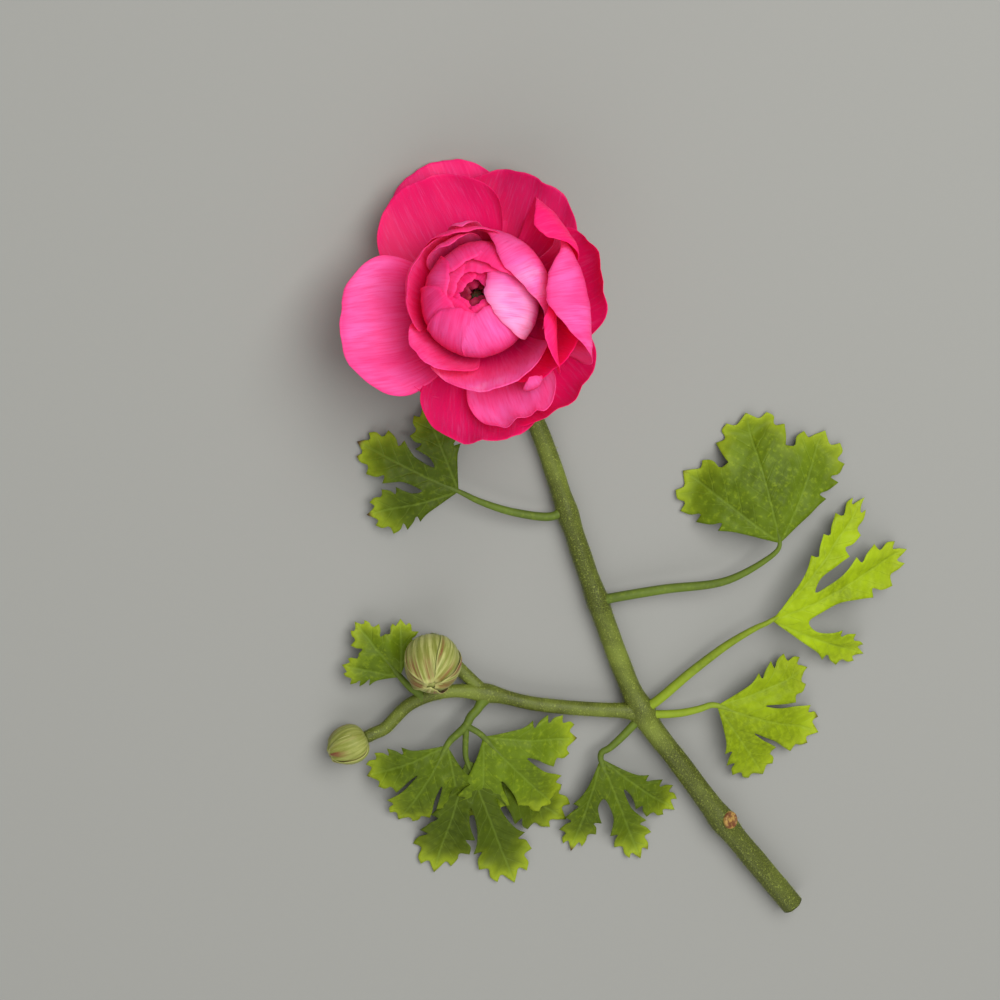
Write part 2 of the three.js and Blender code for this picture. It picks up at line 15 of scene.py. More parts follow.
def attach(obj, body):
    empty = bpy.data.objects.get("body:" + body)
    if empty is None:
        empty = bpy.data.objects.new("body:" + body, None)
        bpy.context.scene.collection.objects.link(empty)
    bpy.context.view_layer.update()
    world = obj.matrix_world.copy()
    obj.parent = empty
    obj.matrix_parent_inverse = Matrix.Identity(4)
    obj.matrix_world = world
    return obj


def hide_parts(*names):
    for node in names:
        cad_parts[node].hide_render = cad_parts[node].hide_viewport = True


bl_info = {
    "name": "Persian buttercup flower",
    "version": (1, 0, 0),
    "blender": (4, 5, 0),
    "location": "3D View > Sidebar > Flower",
    "description": "Builds the petals, stem, buds and leaves of a cut persian buttercup",
    "category": "Add Mesh",
}

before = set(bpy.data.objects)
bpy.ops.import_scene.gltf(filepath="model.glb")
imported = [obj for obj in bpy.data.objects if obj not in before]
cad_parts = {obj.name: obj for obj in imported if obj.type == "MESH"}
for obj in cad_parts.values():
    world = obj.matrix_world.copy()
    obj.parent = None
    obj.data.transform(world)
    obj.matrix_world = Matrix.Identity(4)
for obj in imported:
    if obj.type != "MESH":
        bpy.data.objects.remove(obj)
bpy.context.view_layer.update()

# Places and driving sizes of the plant, in millimetres and degrees
MM = 0.001
PLAN_CENTRE = np.array([48.1, -11.5, 0.0])
BLOOM_BASE = np.array([-45.0, 0.5, 22.0])
BLOOM_LEAN = 32.0
BLOOM_TURN = 61.8
PETAL_WIDEST = 0.62
PETAL_ROOT = (6.0, 1.1)
BALL_ROOT = (3.5, 1.0)
HOLE_RADIUS = 2.5
HOLE_FLOOR = 15.6
BALL_TOP = 23.5
THROAT_PETALS = 7

NECK_RADIUS = 2.6
MID_RADIUS = 3.1
FOOT_RADIUS = 3.6
SHOOT_RADIUS = 2.3
PEDICEL_RADIUS = 1.9
NODE_SWELLING = 0.9
NODE_SPREAD = 4.5
HAIRLESS_HEIGHT = 1.3 * MM
RING_SPACING = 0.8
# Rings of the cut end: share of the stem's radius, how far ahead, and share of the way to the pith
CUT_RINGS = (
    (0.93, -0.1948, 0.02), (0.8, -0.148, 0.3), (0.55, -0.058, 0.6), (0.36, -0.3088, 0.8), (0.3, -0.424, 1.0),
)

LOBE_WIDEST = 0.7
LOBE_FOOT = 0.12
VEIN_SLANT = 1.15
VEIN_SPACING = 5.2
TOOTH_LENGTH = 0.09
TOOTH_DEPTH = 1.7
# Places of the teeth along a lobe, then the points of its end: share of length, share of width, if pointed
TOOTH_PLACES = (0.5, 0.66, 0.82)
END_TEETH = ((0.92, 0.86, False), (0.985, 0.66, True), (0.94, 0.4, False), (0.99, 0.2, False))
LOWEST_BLADE = 0.37

BUD_HEIGHT = 18.4
BUD_RADIUS = 8.8
SMALL_BUD_HEIGHT = 12.6
SMALL_BUD_RADIUS = 6.0
SEPALS = 5

# The view: where the hole of the bloom stands in the picture, how large it is drawn, and how the stem runs
PICTURE_SIZE = 1000
HOLE_PIXEL = (475, 292)
PIXELS_PER_MM = 3.5
VIEW_ELEVATION = 70.0
STEM_RIGHT = 0.472
STEM_DOWN = 0.882
VIEW_DISTANCE = 1050.0
SENSOR_WIDTH = 36


def to_row(points):
    """Plant millimetres as row metres."""
    return (np.asarray(points, float) - PLAN_CENTRE) * MM


def bloom_matrix():
    """The turn from the bloom's own axes to the plant's."""
    turn = math.radians(BLOOM_TURN)
    lean = math.radians(BLOOM_LEAN)
    turned = np.array([
        [math.cos(turn), -math.sin(turn), 0],
        [math.sin(turn), math.cos(turn), 0],
        [0, 0, 1],
    ])
    leaned = np.array([
        [math.cos(lean), 0, -math.sin(lean)],
        [0, 1, 0],
        [math.sin(lean), 0, math.cos(lean)],
    ])
    return leaned @ turned


def bloom_to_plant(points):
    return np.asarray(points, float) @ bloom_matrix().T + BLOOM_BASE


# Settings that a user would change


def colour_setting(name, description, default):
    return bpy.props.FloatVectorProperty(
        name=name, description=description, default=default, subtype="COLOR", size=3, min=0, max=1,
    )


def length_setting(name, description, default, low, high):
    """A length whose limits are given in millimetres."""
    return bpy.props.FloatProperty(
        name=name, description=description, default=default * MM, min=low * MM, max=high * MM, unit="LENGTH",
        precision=5,
    )


class PetalSettings(bpy.types.PropertyGroup):
    """Sizes and colours of the petals."""

    thickness: length_setting("Thickness", "Thickness of a petal in its middle", 0.3, 0.1, 0.8)
    margin: bpy.props.FloatProperty(
        name="Margin", description="Share of the thickness that is left at a petal's margin",
        default=0.4, min=0.1, max=1.0, subtype="FACTOR",
    )
    crinkle: length_setting("Crinkle", "Height of the papery creases", 0.1, 0.0, 0.6)
    hot: colour_setting("Face", "Colour of a petal's inner face", (0.96, 0.008, 0.2))
    # Laid on backs and tips, and also as painted light on the lit petals by their tone.
    pale: colour_setting("Back", "Colour of a petal's back and tip", (0.98, 0.2, 0.66))
    # Painted highlight on the lit side of the palest petals.
    painted_highlight: colour_setting("Gleam", "Colour of the palest, silky parts", (1.0, 0.6, 1.0))
    # Painted shade towards a petal's foot, deep in the bloom; also the colour of the darker vein streaks.
    deep_shade_and_veins: colour_setting("Depth", "Colour towards a petal's foot", (0.66, 0.001, 0.095))
    # Painted shade on the petals that lie in shade.
    painted_dusk_shade: colour_setting("Dusk", "Colour of the outer parts of the deepest petals", (0.62, 0.012, 0.13))
    scorched: colour_setting("Throat", "Colour of the shrivelled tips round the hole", (0.3, 0.012, 0.03))
    through: colour_setting("Through", "Colour that the light takes on inside a petal", (1.0, 0.01, 0.16))


class StemSettings(bpy.types.PropertyGroup):
    """Sizes and colours of the stem."""

    hair_density: bpy.props.FloatProperty(
        name="Hair density", description="Hairs on a square metre of stem", default=1.0e6, min=0, max=5e6,
    )
    hair_length: length_setting("Hair length", "Length of a hair", 0.9, 0.1, 3)
    hair_width: length_setting("Hair width", "Radius of a hair at its root", 0.04, 0.01, 0.2)
    skin: colour_setting("Skin", "Colour of the stem's skin", (0.082, 0.1, 0.012))
    shade: colour_setting("Shade", "Darker olive of the skin", (0.036, 0.042, 0.006))
    light: colour_setting("Light", "Lighter clouds of the skin", (0.2, 0.25, 0.035))
    speckle: colour_setting("Speckles", "Colour of the skin's speckles", (0.3, 0.35, 0.06))
    scar: colour_setting("Scar", "Colour of a leaf scar", (0.33, 0.2, 0.05))
    cork: colour_setting("Cork", "Darker brown of a leaf scar", (0.13, 0.045, 0.018))
    cut_rim: colour_setting("Cut rim", "Colour of the cut end by its skin", (0.16, 0.19, 0.05))
    pith: colour_setting("Pith", "Colour of the middle of the cut end", (0.4, 0.43, 0.17))


class BudSettings(bpy.types.PropertyGroup):
    """Colours of the buds and of the sepals under the bloom."""

    green: colour_setting("Green", "Colour of a sepal between its ribs", (0.17, 0.19, 0.03))
    cream: colour_setting("Cream", "Colour of a sepal's ribs and margins", (0.42, 0.42, 0.15))
    maroon: colour_setting("Maroon", "Colour of the streaks by a sepal's margins", (0.17, 0.035, 0.02))


class LeafSettings(bpy.types.PropertyGroup):
    """Sizes and colours of the leaves."""

    thickness: length_setting("Thickness", "Thickness of a blade", 0.42, 0.1, 0.8)
    ruffle: length_setting("Ruffle", "Height of the waves along a blade's margin", 1.3, 0.0, 4)
    spacing: length_setting("Mesh spacing", "Distance between the points of a blade", 1.0, 0.5, 3)
    green: colour_setting("Green", "Colour of the blade", (0.13, 0.2, 0.006))
    young: colour_setting("Young green", "Colour of the bright leaves", (0.34, 0.47, 0.006))
    tip: colour_setting("Tips", "Colour of the teeth", (0.36, 0.45, 0.02))
    vein: colour_setting("Veins", "Colour of the ribs and veins", (0.26, 0.37, 0.05))
    under: colour_setting("Underside", "Paler green of the underside", (0.24, 0.31, 0.11))
    brown: colour_setting("Brown", "Colour of the dried tips", (0.12, 0.07, 0.02))


class StageSettings(bpy.types.PropertyGroup):
    """Floor and light."""

    floor: colour_setting("Floor", "Colour of the floor", (0.25, 0.25, 0.232))
    key: bpy.props.FloatProperty(
        name="Key", description="Power of the large soft light", default=24.0, min=0, unit="POWER",
    )
    fill: bpy.props.FloatProperty(
        name="Fill", description="Power of the light from the other side", default=6.0, min=0, unit="POWER",
    )
    surround: bpy.props.FloatProperty(
        name="Surround", description="Strength of the light from all round", default=0.44, min=0,
    )


class FlowerSettings(bpy.types.PropertyGroup):
    """All settings of the flower."""

    petals: bpy.props.PointerProperty(type=PetalSettings)
    stem: bpy.props.PointerProperty(type=StemSettings)
    buds: bpy.props.PointerProperty(type=BudSettings)
    leaves: bpy.props.PointerProperty(type=LeafSettings)
    stage: bpy.props.PointerProperty(type=StageSettings)


# Paints


class Paint:
    """A material whose nodes are added one by one. Its sockets are passed from call to call, and lay puts one
    tint after another over the colour so far."""

    def __init__(self, name, roughness, **constants):
        self.material = bpy.data.materials.new(name)
        self.material.use_nodes = True
        self.tree = self.material.node_tree
        self.shader = self.tree.nodes["Principled BSDF"]
        self.shader.inputs["Roughness"].default_value = roughness
        for socket, value in constants.items():
            self.shader.inputs[socket.replace("_", " ")].default_value = value
        self.colour = None

    def put(self, value, socket):
        if isinstance(value, bpy.types.NodeSocket):
            self.tree.links.new(value, socket)
        elif value is not None:
            socket.default_value = (*value, 1) if socket.type == "RGBA" else value

    def node(self, kind, inputs, **settings):
        """A new node with its settings, and a socket or a plain value for each input that is named."""
        node = self.tree.nodes.new("ShaderNode" + kind)
        for key, value in settings.items():
            setattr(node, key, value)
        for key, value in inputs.items():
            self.put(value, node.inputs[key])
        return node

    def coordinates(self):
        return self.node("TexCoord", {}).outputs["Object"]

    def attributes(self, *names):
        """The piece's own attributes of these names."""
        return [self.node("Attribute", {}, attribute_name=name).outputs["Fac"] for name in names]

    def math(self, operation, first, second, third=None):
        return self.node("Math", {0: first, 1: second, 2: third}, operation=operation).outputs[0]

    def times(self, product, *others):
        for other in others:
            product = self.math("MULTIPLY", product, other)
        return product

    def vector(self, x, y, z):
        return self.node("CombineXYZ", {0: x, 1: y, 2: z}).outputs[0]

    def noise(self, vector, scale, detail=3.0, roughness=0.55):
        inputs = {"Vector": vector, "Scale": scale, "Detail": detail, "Roughness": roughness}
        return self.node("TexNoise", inputs).outputs["Fac"]

    def span(self, value, low, high, start=0.0, end=1.0):
        """Start where a value is low, end where it is high, and a smooth step between."""
        inputs = {"Value": value, "From Min": low, "From Max": high, "To Min": start, "To Max": end}
        return self.node("MapRange", inputs, interpolation_type="SMOOTHSTEP").outputs["Result"]

    def mix(self, share, first, second):
        return self.node("Mix", {0: share, 6: first, 7: second}, data_type="RGBA").outputs[2]

    def lay(self, share, tint):
        self.colour = self.mix(share, self.colour, tint)

    def finish(self):
        """Gives the colour so far to the shader."""
        self.put(self.colour, self.shader.inputs["Base Color"])
        return self.material

    def bump(self, height, strength, distance):
        inputs = {"Strength": strength, "Distance": distance, "Height": height}
        normal = self.node("Bump", inputs).outputs["Normal"]
        self.put(normal, self.shader.inputs["Normal"])
        return normal

    def glow_through(self, colour, share, normal):
        """Lets a share of the light through the thin piece."""
        through = self.node("BsdfTranslucent", {"Color": colour, "Normal": normal}).outputs[0]
        blend = self.node("MixShader", {0: share, 1: self.shader.outputs[0], 2: through}).outputs[0]
        self.put(blend, self.tree.nodes["Material Output"].inputs["Surface"])


def petal_paint(name, settings, throat=False):
    """Papery pink with fine fanned veins and paler backs; crimson painted shade at the foot and on shaded
    petals, and paler painted light with a highlight on lit petals.
    """
    paint = Paint(
        name, 0.48, Specular_IOR_Level=0.2, Sheen_Weight=0.04, Sheen_Roughness=0.4,
        Sheen_Tint=(1.0, 0.62, 0.9, 1.0),
    )
    across, along, tone, back, rim, seed = paint.attributes("across", "along", "tone", "back", "rim", "seed")
    draw = paint.times(seed, 53.0)
    veins = paint.noise(paint.vector(across, paint.times(along, 2.6), draw), 1.7, 4.0, 0.6)
    patches = paint.noise(paint.vector(paint.times(across, 0.07), along, draw), 2.0, 2.0)
    # Painted shade: the foot of each petal, deep in the bloom, darkens to the depth colour.
    paint.colour = paint.mix(paint.span(along, 0.12, 0.6, 1.0, 0.0), settings.hot, settings.deep_shade_and_veins)
    # Painted shade on petals whose tone is below 0.
    paint.lay(paint.times(paint.span(tone, -1.0, 0.0, 1.0, 0.0), paint.span(along, 0.3, 0.9)), settings.painted_dusk_shade)
    # Painted light: on petals whose tone is above 1, one side is kept unlit and the other gets a painted
    # highlight.
    unlit_side = paint.times(paint.span(tone, 1.0, 1.6), paint.span(across, -6.0, 10.0, 0.0, 0.6))
    # Paler backs and tips, and painted light on the petals with a high tone.
    paleness_and_light = paint.times(
        tone, paint.span(back, 0.0, 1.0, 0.85, 1.1), paint.span(along, 0.3, 0.8),
        paint.span(patches, 0.3, 0.7, 0.6, 1.15), paint.math("SUBTRACT", 1.0, unlit_side),
    )
    paint.lay(paleness_and_light, settings.pale)
    # Painted highlight on the lit side of the palest petals.
    painted_highlight_share = paint.times(paint.span(paleness_and_light, 0.95, 1.7), paint.span(across, -9.0, 9.0, 0.85, 0.1))
    paint.lay(painted_highlight_share, settings.painted_highlight)
    paint.lay(paint.span(veins, 0.34, 0.6, 0.26, 0.0), settings.hot)
    paint.lay(paint.times(paint.span(veins, 0.48, 0.7), 0.15), settings.pale)
    paint.lay(paint.span(veins, 0.28, 0.48, 0.16, 0.0), settings.deep_shade_and_veins)
    paint.lay(paint.span(rim, 0.9, 1.0, 0.0, 0.35), settings.hot)
    if throat:
        shrivelled = paint.times(paint.span(along, 0.8, 0.97), paint.span(patches, 0.3, 0.6, 0.6, 1.0))
        paint.lay(shrivelled, settings.scorched)
    relief = paint.bump(veins, strength=0.25, distance=0.3 * MM)
    paint.glow_through(paint.mix(0.6, paint.colour, settings.through), share=0.46, normal=relief)
    return paint.finish()


def sepal_paint(name, settings, contrast=0.85):
    """Finely striped yellow-green with pale margins and maroon streaks beside them."""
    paint = Paint(name, 0.5, Specular_IOR_Level=0.2, Sheen_Weight=0.04, Sheen_Roughness=0.5)
    across, along, rim, rib, seed = paint.attributes("across", "along", "rim", "rib", "seed")
    fan = paint.vector(across, paint.times(along, 1.6), paint.times(seed, 31.0))
    streaks = paint.noise(fan, 1.5, 4.0, 0.6)
    bands = paint.noise(fan, 0.42, 2.0)
    cloud = paint.noise(paint.coordinates(), 190.0)
    stripes = paint.math("MULTIPLY_ADD", rib, 0.2, streaks)
    paint.colour = paint.mix(paint.span(stripes, 0.42, 0.8, 0.0, contrast), settings.green, settings.cream)
    blush = paint.times(
        paint.span(bands, 0.44, 0.6), paint.span(rim, 0.5, 0.86), paint.span(streaks, 0.34, 0.56, 0.3, 1.0),
        paint.span(along, 0.25, 0.8, 0.3, 1.0),
    )
    paint.lay(blush, settings.maroon)
    paint.lay(paint.span(rim, 0.93, 0.98, 0.0, 0.6), settings.cream)
    paint.lay(paint.span(cloud, 0.4, 0.7, 0.0, 0.45), settings.green)
    paint.bump(streaks, strength=0.4, distance=0.4 * MM)
    return paint.finish()


def stem_paint(name, settings):
    """Speckled olive skin with long faint stripes, tan scars and a pale cut end."""
    paint = Paint(name, 0.46, Specular_IOR_Level=0.2)
    around, length, worn, cut = paint.attributes("around", "length", "worn", "cut")
    lines = paint.noise(paint.vector(paint.times(around, 3.4), length, 0.0), 2.6)
    place = paint.coordinates()
    cloud = paint.noise(place, 55.0)
    speckles = paint.noise(place, 1500.0, detail=1.0)
    paint.colour = paint.mix(paint.span(lines, 0.35, 0.65), settings.shade, settings.skin)
    paint.lay(paint.span(cloud, 0.42, 0.75, 0.0, 0.55), settings.light)
    paint.lay(paint.span(speckles, 0.6, 0.72, 0.0, 0.4), settings.speckle)
    corky = paint.span(paint.noise(place, 650.0), 0.38, 0.62)
    paint.lay(worn, paint.mix(corky, settings.cork, settings.scar))
    pith = paint.mix(paint.span(cut, 0.25, 0.85), settings.cut_rim, settings.pith)
    paint.lay(paint.span(cut, 0.001, 0.12), pith)
    paint.put(paint.span(cloud, 0.3, 0.7, 0.36, 0.52), paint.shader.inputs["Roughness"])
    paint.bump(paint.math("MULTIPLY_ADD", speckles, 0.5, lines), strength=0.3, distance=0.3 * MM)
    return paint.finish()


def hair_paint(name):
    paint = Paint(name, 0.5, Specular_IOR_Level=0.4)
    paint.colour = paint.mix(paint.noise(paint.coordinates(), 200.0), (0.15, 0.19, 0.02), (0.32, 0.36, 0.07))
    return paint.finish()


def carpel_paint(name):
    paint = Paint(name, 0.5, Specular_IOR_Level=0.4)
    cloud = paint.noise(paint.coordinates(), 900.0)
    paint.colour = paint.mix(paint.span(cloud, 0.35, 0.65), (0.035, 0.05, 0.012), (0.1, 0.02, 0.015))
    paint.bump(cloud, strength=0.4, distance=0.2 * MM)
    return paint.finish()


def leaf_paint(name, settings, young):
    """Green blade with paler ribs, side veins and teeth, and a little brown at the very tips."""
    paint = Paint(name, 0.5, Specular_IOR_Level=0.14)
    rib, along, edge, reach = paint.attributes("rib", "along", "edge", "reach")
    under, shade = paint.attributes("under", "shade")
    place = paint.coordinates()
    cloud = paint.noise(place, 60.0)
    grain = paint.noise(place, 700.0)
    step = paint.math("MULTIPLY_ADD", rib, -VEIN_SLANT, along)
    wobble = paint.math("MULTIPLY_ADD", paint.noise(place, 220.0), 1.6, step)
    phase = paint.math("PINGPONG", wobble, VEIN_SPACING / 2)
    side_vein = paint.times(paint.span(phase, 0.0, 0.42, 0.75, 0.0), paint.span(rib, 0.0, 7.0, 1.0, 0.35))
    veins = paint.math("MAXIMUM", paint.span(rib, 0.15, 0.6, 1.0, 0.0), side_vein)
    base = settings.young if young else settings.green
    paint.colour = paint.mix(paint.span(cloud, 0.3, 0.7), tuple(0.55 * channel for channel in base), base)
    paint.lay(paint.span(grain, 0.35, 0.7, 0.0, 0.5), base)
    paint.lay(paint.span(grain, 0.52, 0.75, 0.0, 0.3), settings.tip)
    paint.lay(shade, paint.mix(0.75, paint.colour, tuple(0.3 * channel for channel in base)))
    tipward = paint.times(paint.span(reach, 0.6, 1.05), paint.span(edge, 0.0, 4.0, 1.0, 0.3))
    paint.lay(paint.times(tipward, 0.75), settings.tip)
    paint.lay(paint.times(veins, 0.18), settings.vein)
    paint.lay(paint.times(under, 0.45), settings.under)
    paint.lay(paint.times(paint.span(reach, 0.97, 1.03), paint.span(cloud, 0.5, 0.62)), settings.brown)
    height = paint.math("MULTIPLY_ADD", veins, -0.8, paint.times(grain, 0.35))
    relief = paint.bump(height, strength=0.45, distance=0.4 * MM)
    paint.glow_through(paint.colour, share=0.22, normal=relief)
    return paint.finish()


# Meshes


def new_piece(name, points, faces, material, attributes=None):
    """A smooth mesh object at the origin from points in plant millimetres, with its float attributes."""
    mesh = bpy.data.meshes.new(name)
    mesh.from_pydata(to_row(points).tolist(), [], [tuple(int(i) for i in face) for face in faces])
    for key, values in (attributes or {}).items():
        layer = mesh.attributes.new(key, "FLOAT", "POINT")
        layer.data.foreach_set("value", np.asarray(values, np.float32))
    mesh.polygons.foreach_set("use_smooth", np.full(len(mesh.polygons), True))
    mesh.materials.append(material)
    mesh.validate()
    mesh.update()
    return linked(name, mesh)


def linked(name, data):
    """A new object in the scene that holds a mesh, a light or a camera."""
    made = bpy.data.objects.new(name, data)
    bpy.context.scene.collection.objects.link(made)
    return made


def merged(parts):
    """Several (points, faces, attributes) as one."""
    points = []
    faces = []
    attributes = {}
    first = 0
    for part_points, part_faces, part_attributes in parts:
        points.append(part_points)
        faces.extend([tuple(i + first for i in face) for face in part_faces])
        for key, values in part_attributes.items():
            attributes.setdefault(key, []).append(values)
        first += len(part_points)
    joined = {key: np.concatenate(values) for key, values in attributes.items()}
    return np.concatenate(points), faces, joined


def even(points, **values):
    """Attributes that are the same at every point, or given point by point."""
    return {key: value + np.zeros(len(points)) for key, value in values.items()}


def place_piece(piece, slot, *nodes):
    """Lets a piece ride on the flower's one body and stand for CAD nodes. slot is not used."""
    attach(piece, "root")
    if nodes:
        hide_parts(*nodes)


def bezier(a, b, c, d, t):
    s = 1 - t
    value = s**3 * a + 3 * s * s * t * b + 3 * s * t * t * c + t**3 * d
    slope = 3 * s * s * (b - a) + 6 * s * t * (c - b) + 3 * t * t * (d - c)
    return value, slope


# Petals


PLAIN_PETAL = {
    "flare": 0, "round": 0.5, "power": 2.0, "narrow": 0.1, "notch": 0, "shift": 0, "lap": 0, "tone": 0.4,
}


def open_petal(at, reach, rise, half, phase, **more):
    """A petal that spreads from the bloom's foot to a given reach and height. at is its azimuth and half its
    half width. Its middle line is a curve by root, low, high and tip, as pairs of radius and height."""
    return PLAIN_PETAL | {
        "at": at, "half": half, "phase": phase, "root": PETAL_ROOT,
        "low": (reach * 0.38, 0.4), "high": (reach * 0.8, rise * 0.35), "tip": (reach, rise),
        "curve": (45, 75), "ruffle": 0.9, "claw": 0.35, "narrow": 0.08,
    } | more


def cupped_petal(at, belly, rim, top, half, phase, **more):
    """A petal that stands up and cups the ball. belly is its widest radius and rim that of its top edge."""
    control = (belly - 0.125 * (BALL_ROOT[0] + rim)) / 0.75
    return PLAIN_PETAL | {
        "at": at, "half": half, "phase": phase, "root": BALL_ROOT,
        "low": (control, 1), "high": (control, top * 0.86), "tip": (rim, top),
        "curve": (belly, belly), "ruffle": 0.4, "claw": 0.4,
    } | more


STRAIGHT_EDGE = {"round": 0.34, "power": 4.0, "flare": 0.5, "ruffle": 0.1}

# A petal's tone is partly painted light: below 0 it lays painted shade, up to 1 the paler back colour, and
# above 1 a painted highlight.
OPEN_PETALS = [
    open_petal(110, 46.5, 4.0, 18.5, 0.4, high=(38, 1.0), curve=(80, 120), claw=0.25, tone=0.15),
    open_petal(70, 41, 9.5, 20, 2.4, high=(35, 0.8), tone=-1.0),
    open_petal(118, 41.5, 11.5, 19.8, 1.7, low=(16, 2.2), high=(33, 4.2), flare=-0.8, lap=2.2, tone=-0.55),
    open_petal(193, 40.5, 13, 21.5, 2.8, low=(15, 2.6), high=(34, 5.5), flare=1.2, lap=2.2, tone=0.68),
    open_petal(225, 31, 6.0, 15, 5.2, high=(26, 0.8), tone=-0.6),
    open_petal(272, 41.5, 11.5, 19, 0.9, low=(15, 1.2), high=(35, 2.2), tone=-0.85),
    open_petal(310, 40, 13, 19, 4.1, high=(36, 1.0), tone=-0.6),
    open_petal(14, 36.5, 14, 18, 3.1, high=(36, 0.8), tone=-0.5),
    open_petal(290, 38, 16, 13.5, 1.2, low=(16, 2.2), high=(36, 4.5), notch=0.1, ruffle=1.0, tone=0.95),
]

RING_PETALS = [
    cupped_petal(
        8, 30.8, 20.2, 25, 21, 1.0, curve=(40, 60), shift=-4.2, lap=-2.8, ruffle=0.15, round=0.65, tone=0.95,
    ),
    cupped_petal(36, 31.5, 25, 25.0, 12, 2.0, curve=(33, 45), shift=4, ruffle=0.3, round=0.7, tone=0.1),
    cupped_petal(328, 28.5, 32, 17.5, 15, 3.3, curve=(30, 30), low=(21, 1), high=(26, 9), tone=-0.2),
    cupped_petal(
        281, 26.8, 28, 20.5, 19, 0.7, curve=(27, 27), low=(21, 0), high=(21.5, 13), flare=0.6, tone=1.1,
    ),
    cupped_petal(
        232, 23.2, 24, 21.5, 12.5, 2.2, curve=(23, 23), low=(19, 0), high=(19, 14), flare=0.6, tone=0.6,
    ),
    cupped_petal(10, 20.5, 17.5, 24.5, 10, 5.0, curve=(24, 26), shift=-16, tone=0.2),
    cupped_petal(158, 19.6, 19.2, 24.5, 18, 4.0, curve=(18, 18), tone=0.45),
    cupped_petal(104, 20.2, 18, 24.5, 15, 1.4, curve=(19, 18), lap=1.2, tone=0.5),
    cupped_petal(101, 21.0, 19.5, 25.0, 6, 0.5, curve=(19, 18), ruffle=0.1, round=0.8, tone=1.2),
    cupped_petal(117, 18.2, 15.6, 25.0, 10, 2.6, curve=(18, 17), ruffle=0.15, round=0.7, tone=0.7),
    cupped_petal(
        303, 29, 29.4, 21.5, 3.8, 1.0, root=(28.6, 4.5), low=(29.6, 8), high=(33, 17), curve=(5, 3.4),
        ruffle=0.2, claw=0.7, tone=1.1,
    ),
    cupped_petal(36, 21.0, 11.2, 26, 23.5, 0.2, curve=(22, 19), ruffle=0.15, round=0.6, tone=1.45),
]

BALL_PETALS = [
    cupped_petal(
        4, 17.2, 3.0, 25.4, 14, 3.0, curve=(16.8, 19), ruffle=0.1, lap=-0.3, round=0.36, power=2.2, tone=2.5,
    ),
]
# The last number is each ball petal's tone, partly painted light as above.
for *numbers, overlap, paleness_and_light in (
    (62, 17.4, 8.4, 25.0, 14, 3.4, -0.9, 0.35),
    (300, 15.8, 5.6, 23.9, 13, 0.4, -1.4, 0.95),
    (254, 16.3, 6.0, 24.3, 13, 1.4, -1.2, 0.8),
    (212, 16.2, 7.2, 24.1, 12.5, 0.9, -1.3, 0.4),
    (172, 15.9, 7.6, 24.1, 12, 5.4, -1.3, 0.55),
    (120, 16.1, 8.4, 24.4, 13, 4.4, -1.3, 0.6),
    (230, 15.0, 4.6, 23.9, 10.5, 2.9, -1.0, 0.3),
    (154, 14.8, 5.2, 23.8, 11, 5.9, -1.0, 0.45),
    (88, 15.0, 5.4, 24.1, 11, 1.1, -1.0, 0.4),
    (300, 13.8, 3.2, 23.3, 8, 0.1, -0.7, 0.3),
    (224, 13.7, 3.3, 23.0, 8, 2.4, -0.7, 0.2),
    (134, 13.6, 2.9, 23.2, 9, 3.7, -0.7, 0.3),
    (52, 13.7, 3.0, 23.1, 9, 5.1, -0.7, 0.3),
):
    BALL_PETALS.append(cupped_petal(*numbers, lap=overlap, tone=paleness_and_light, **STRAIGHT_EDGE))


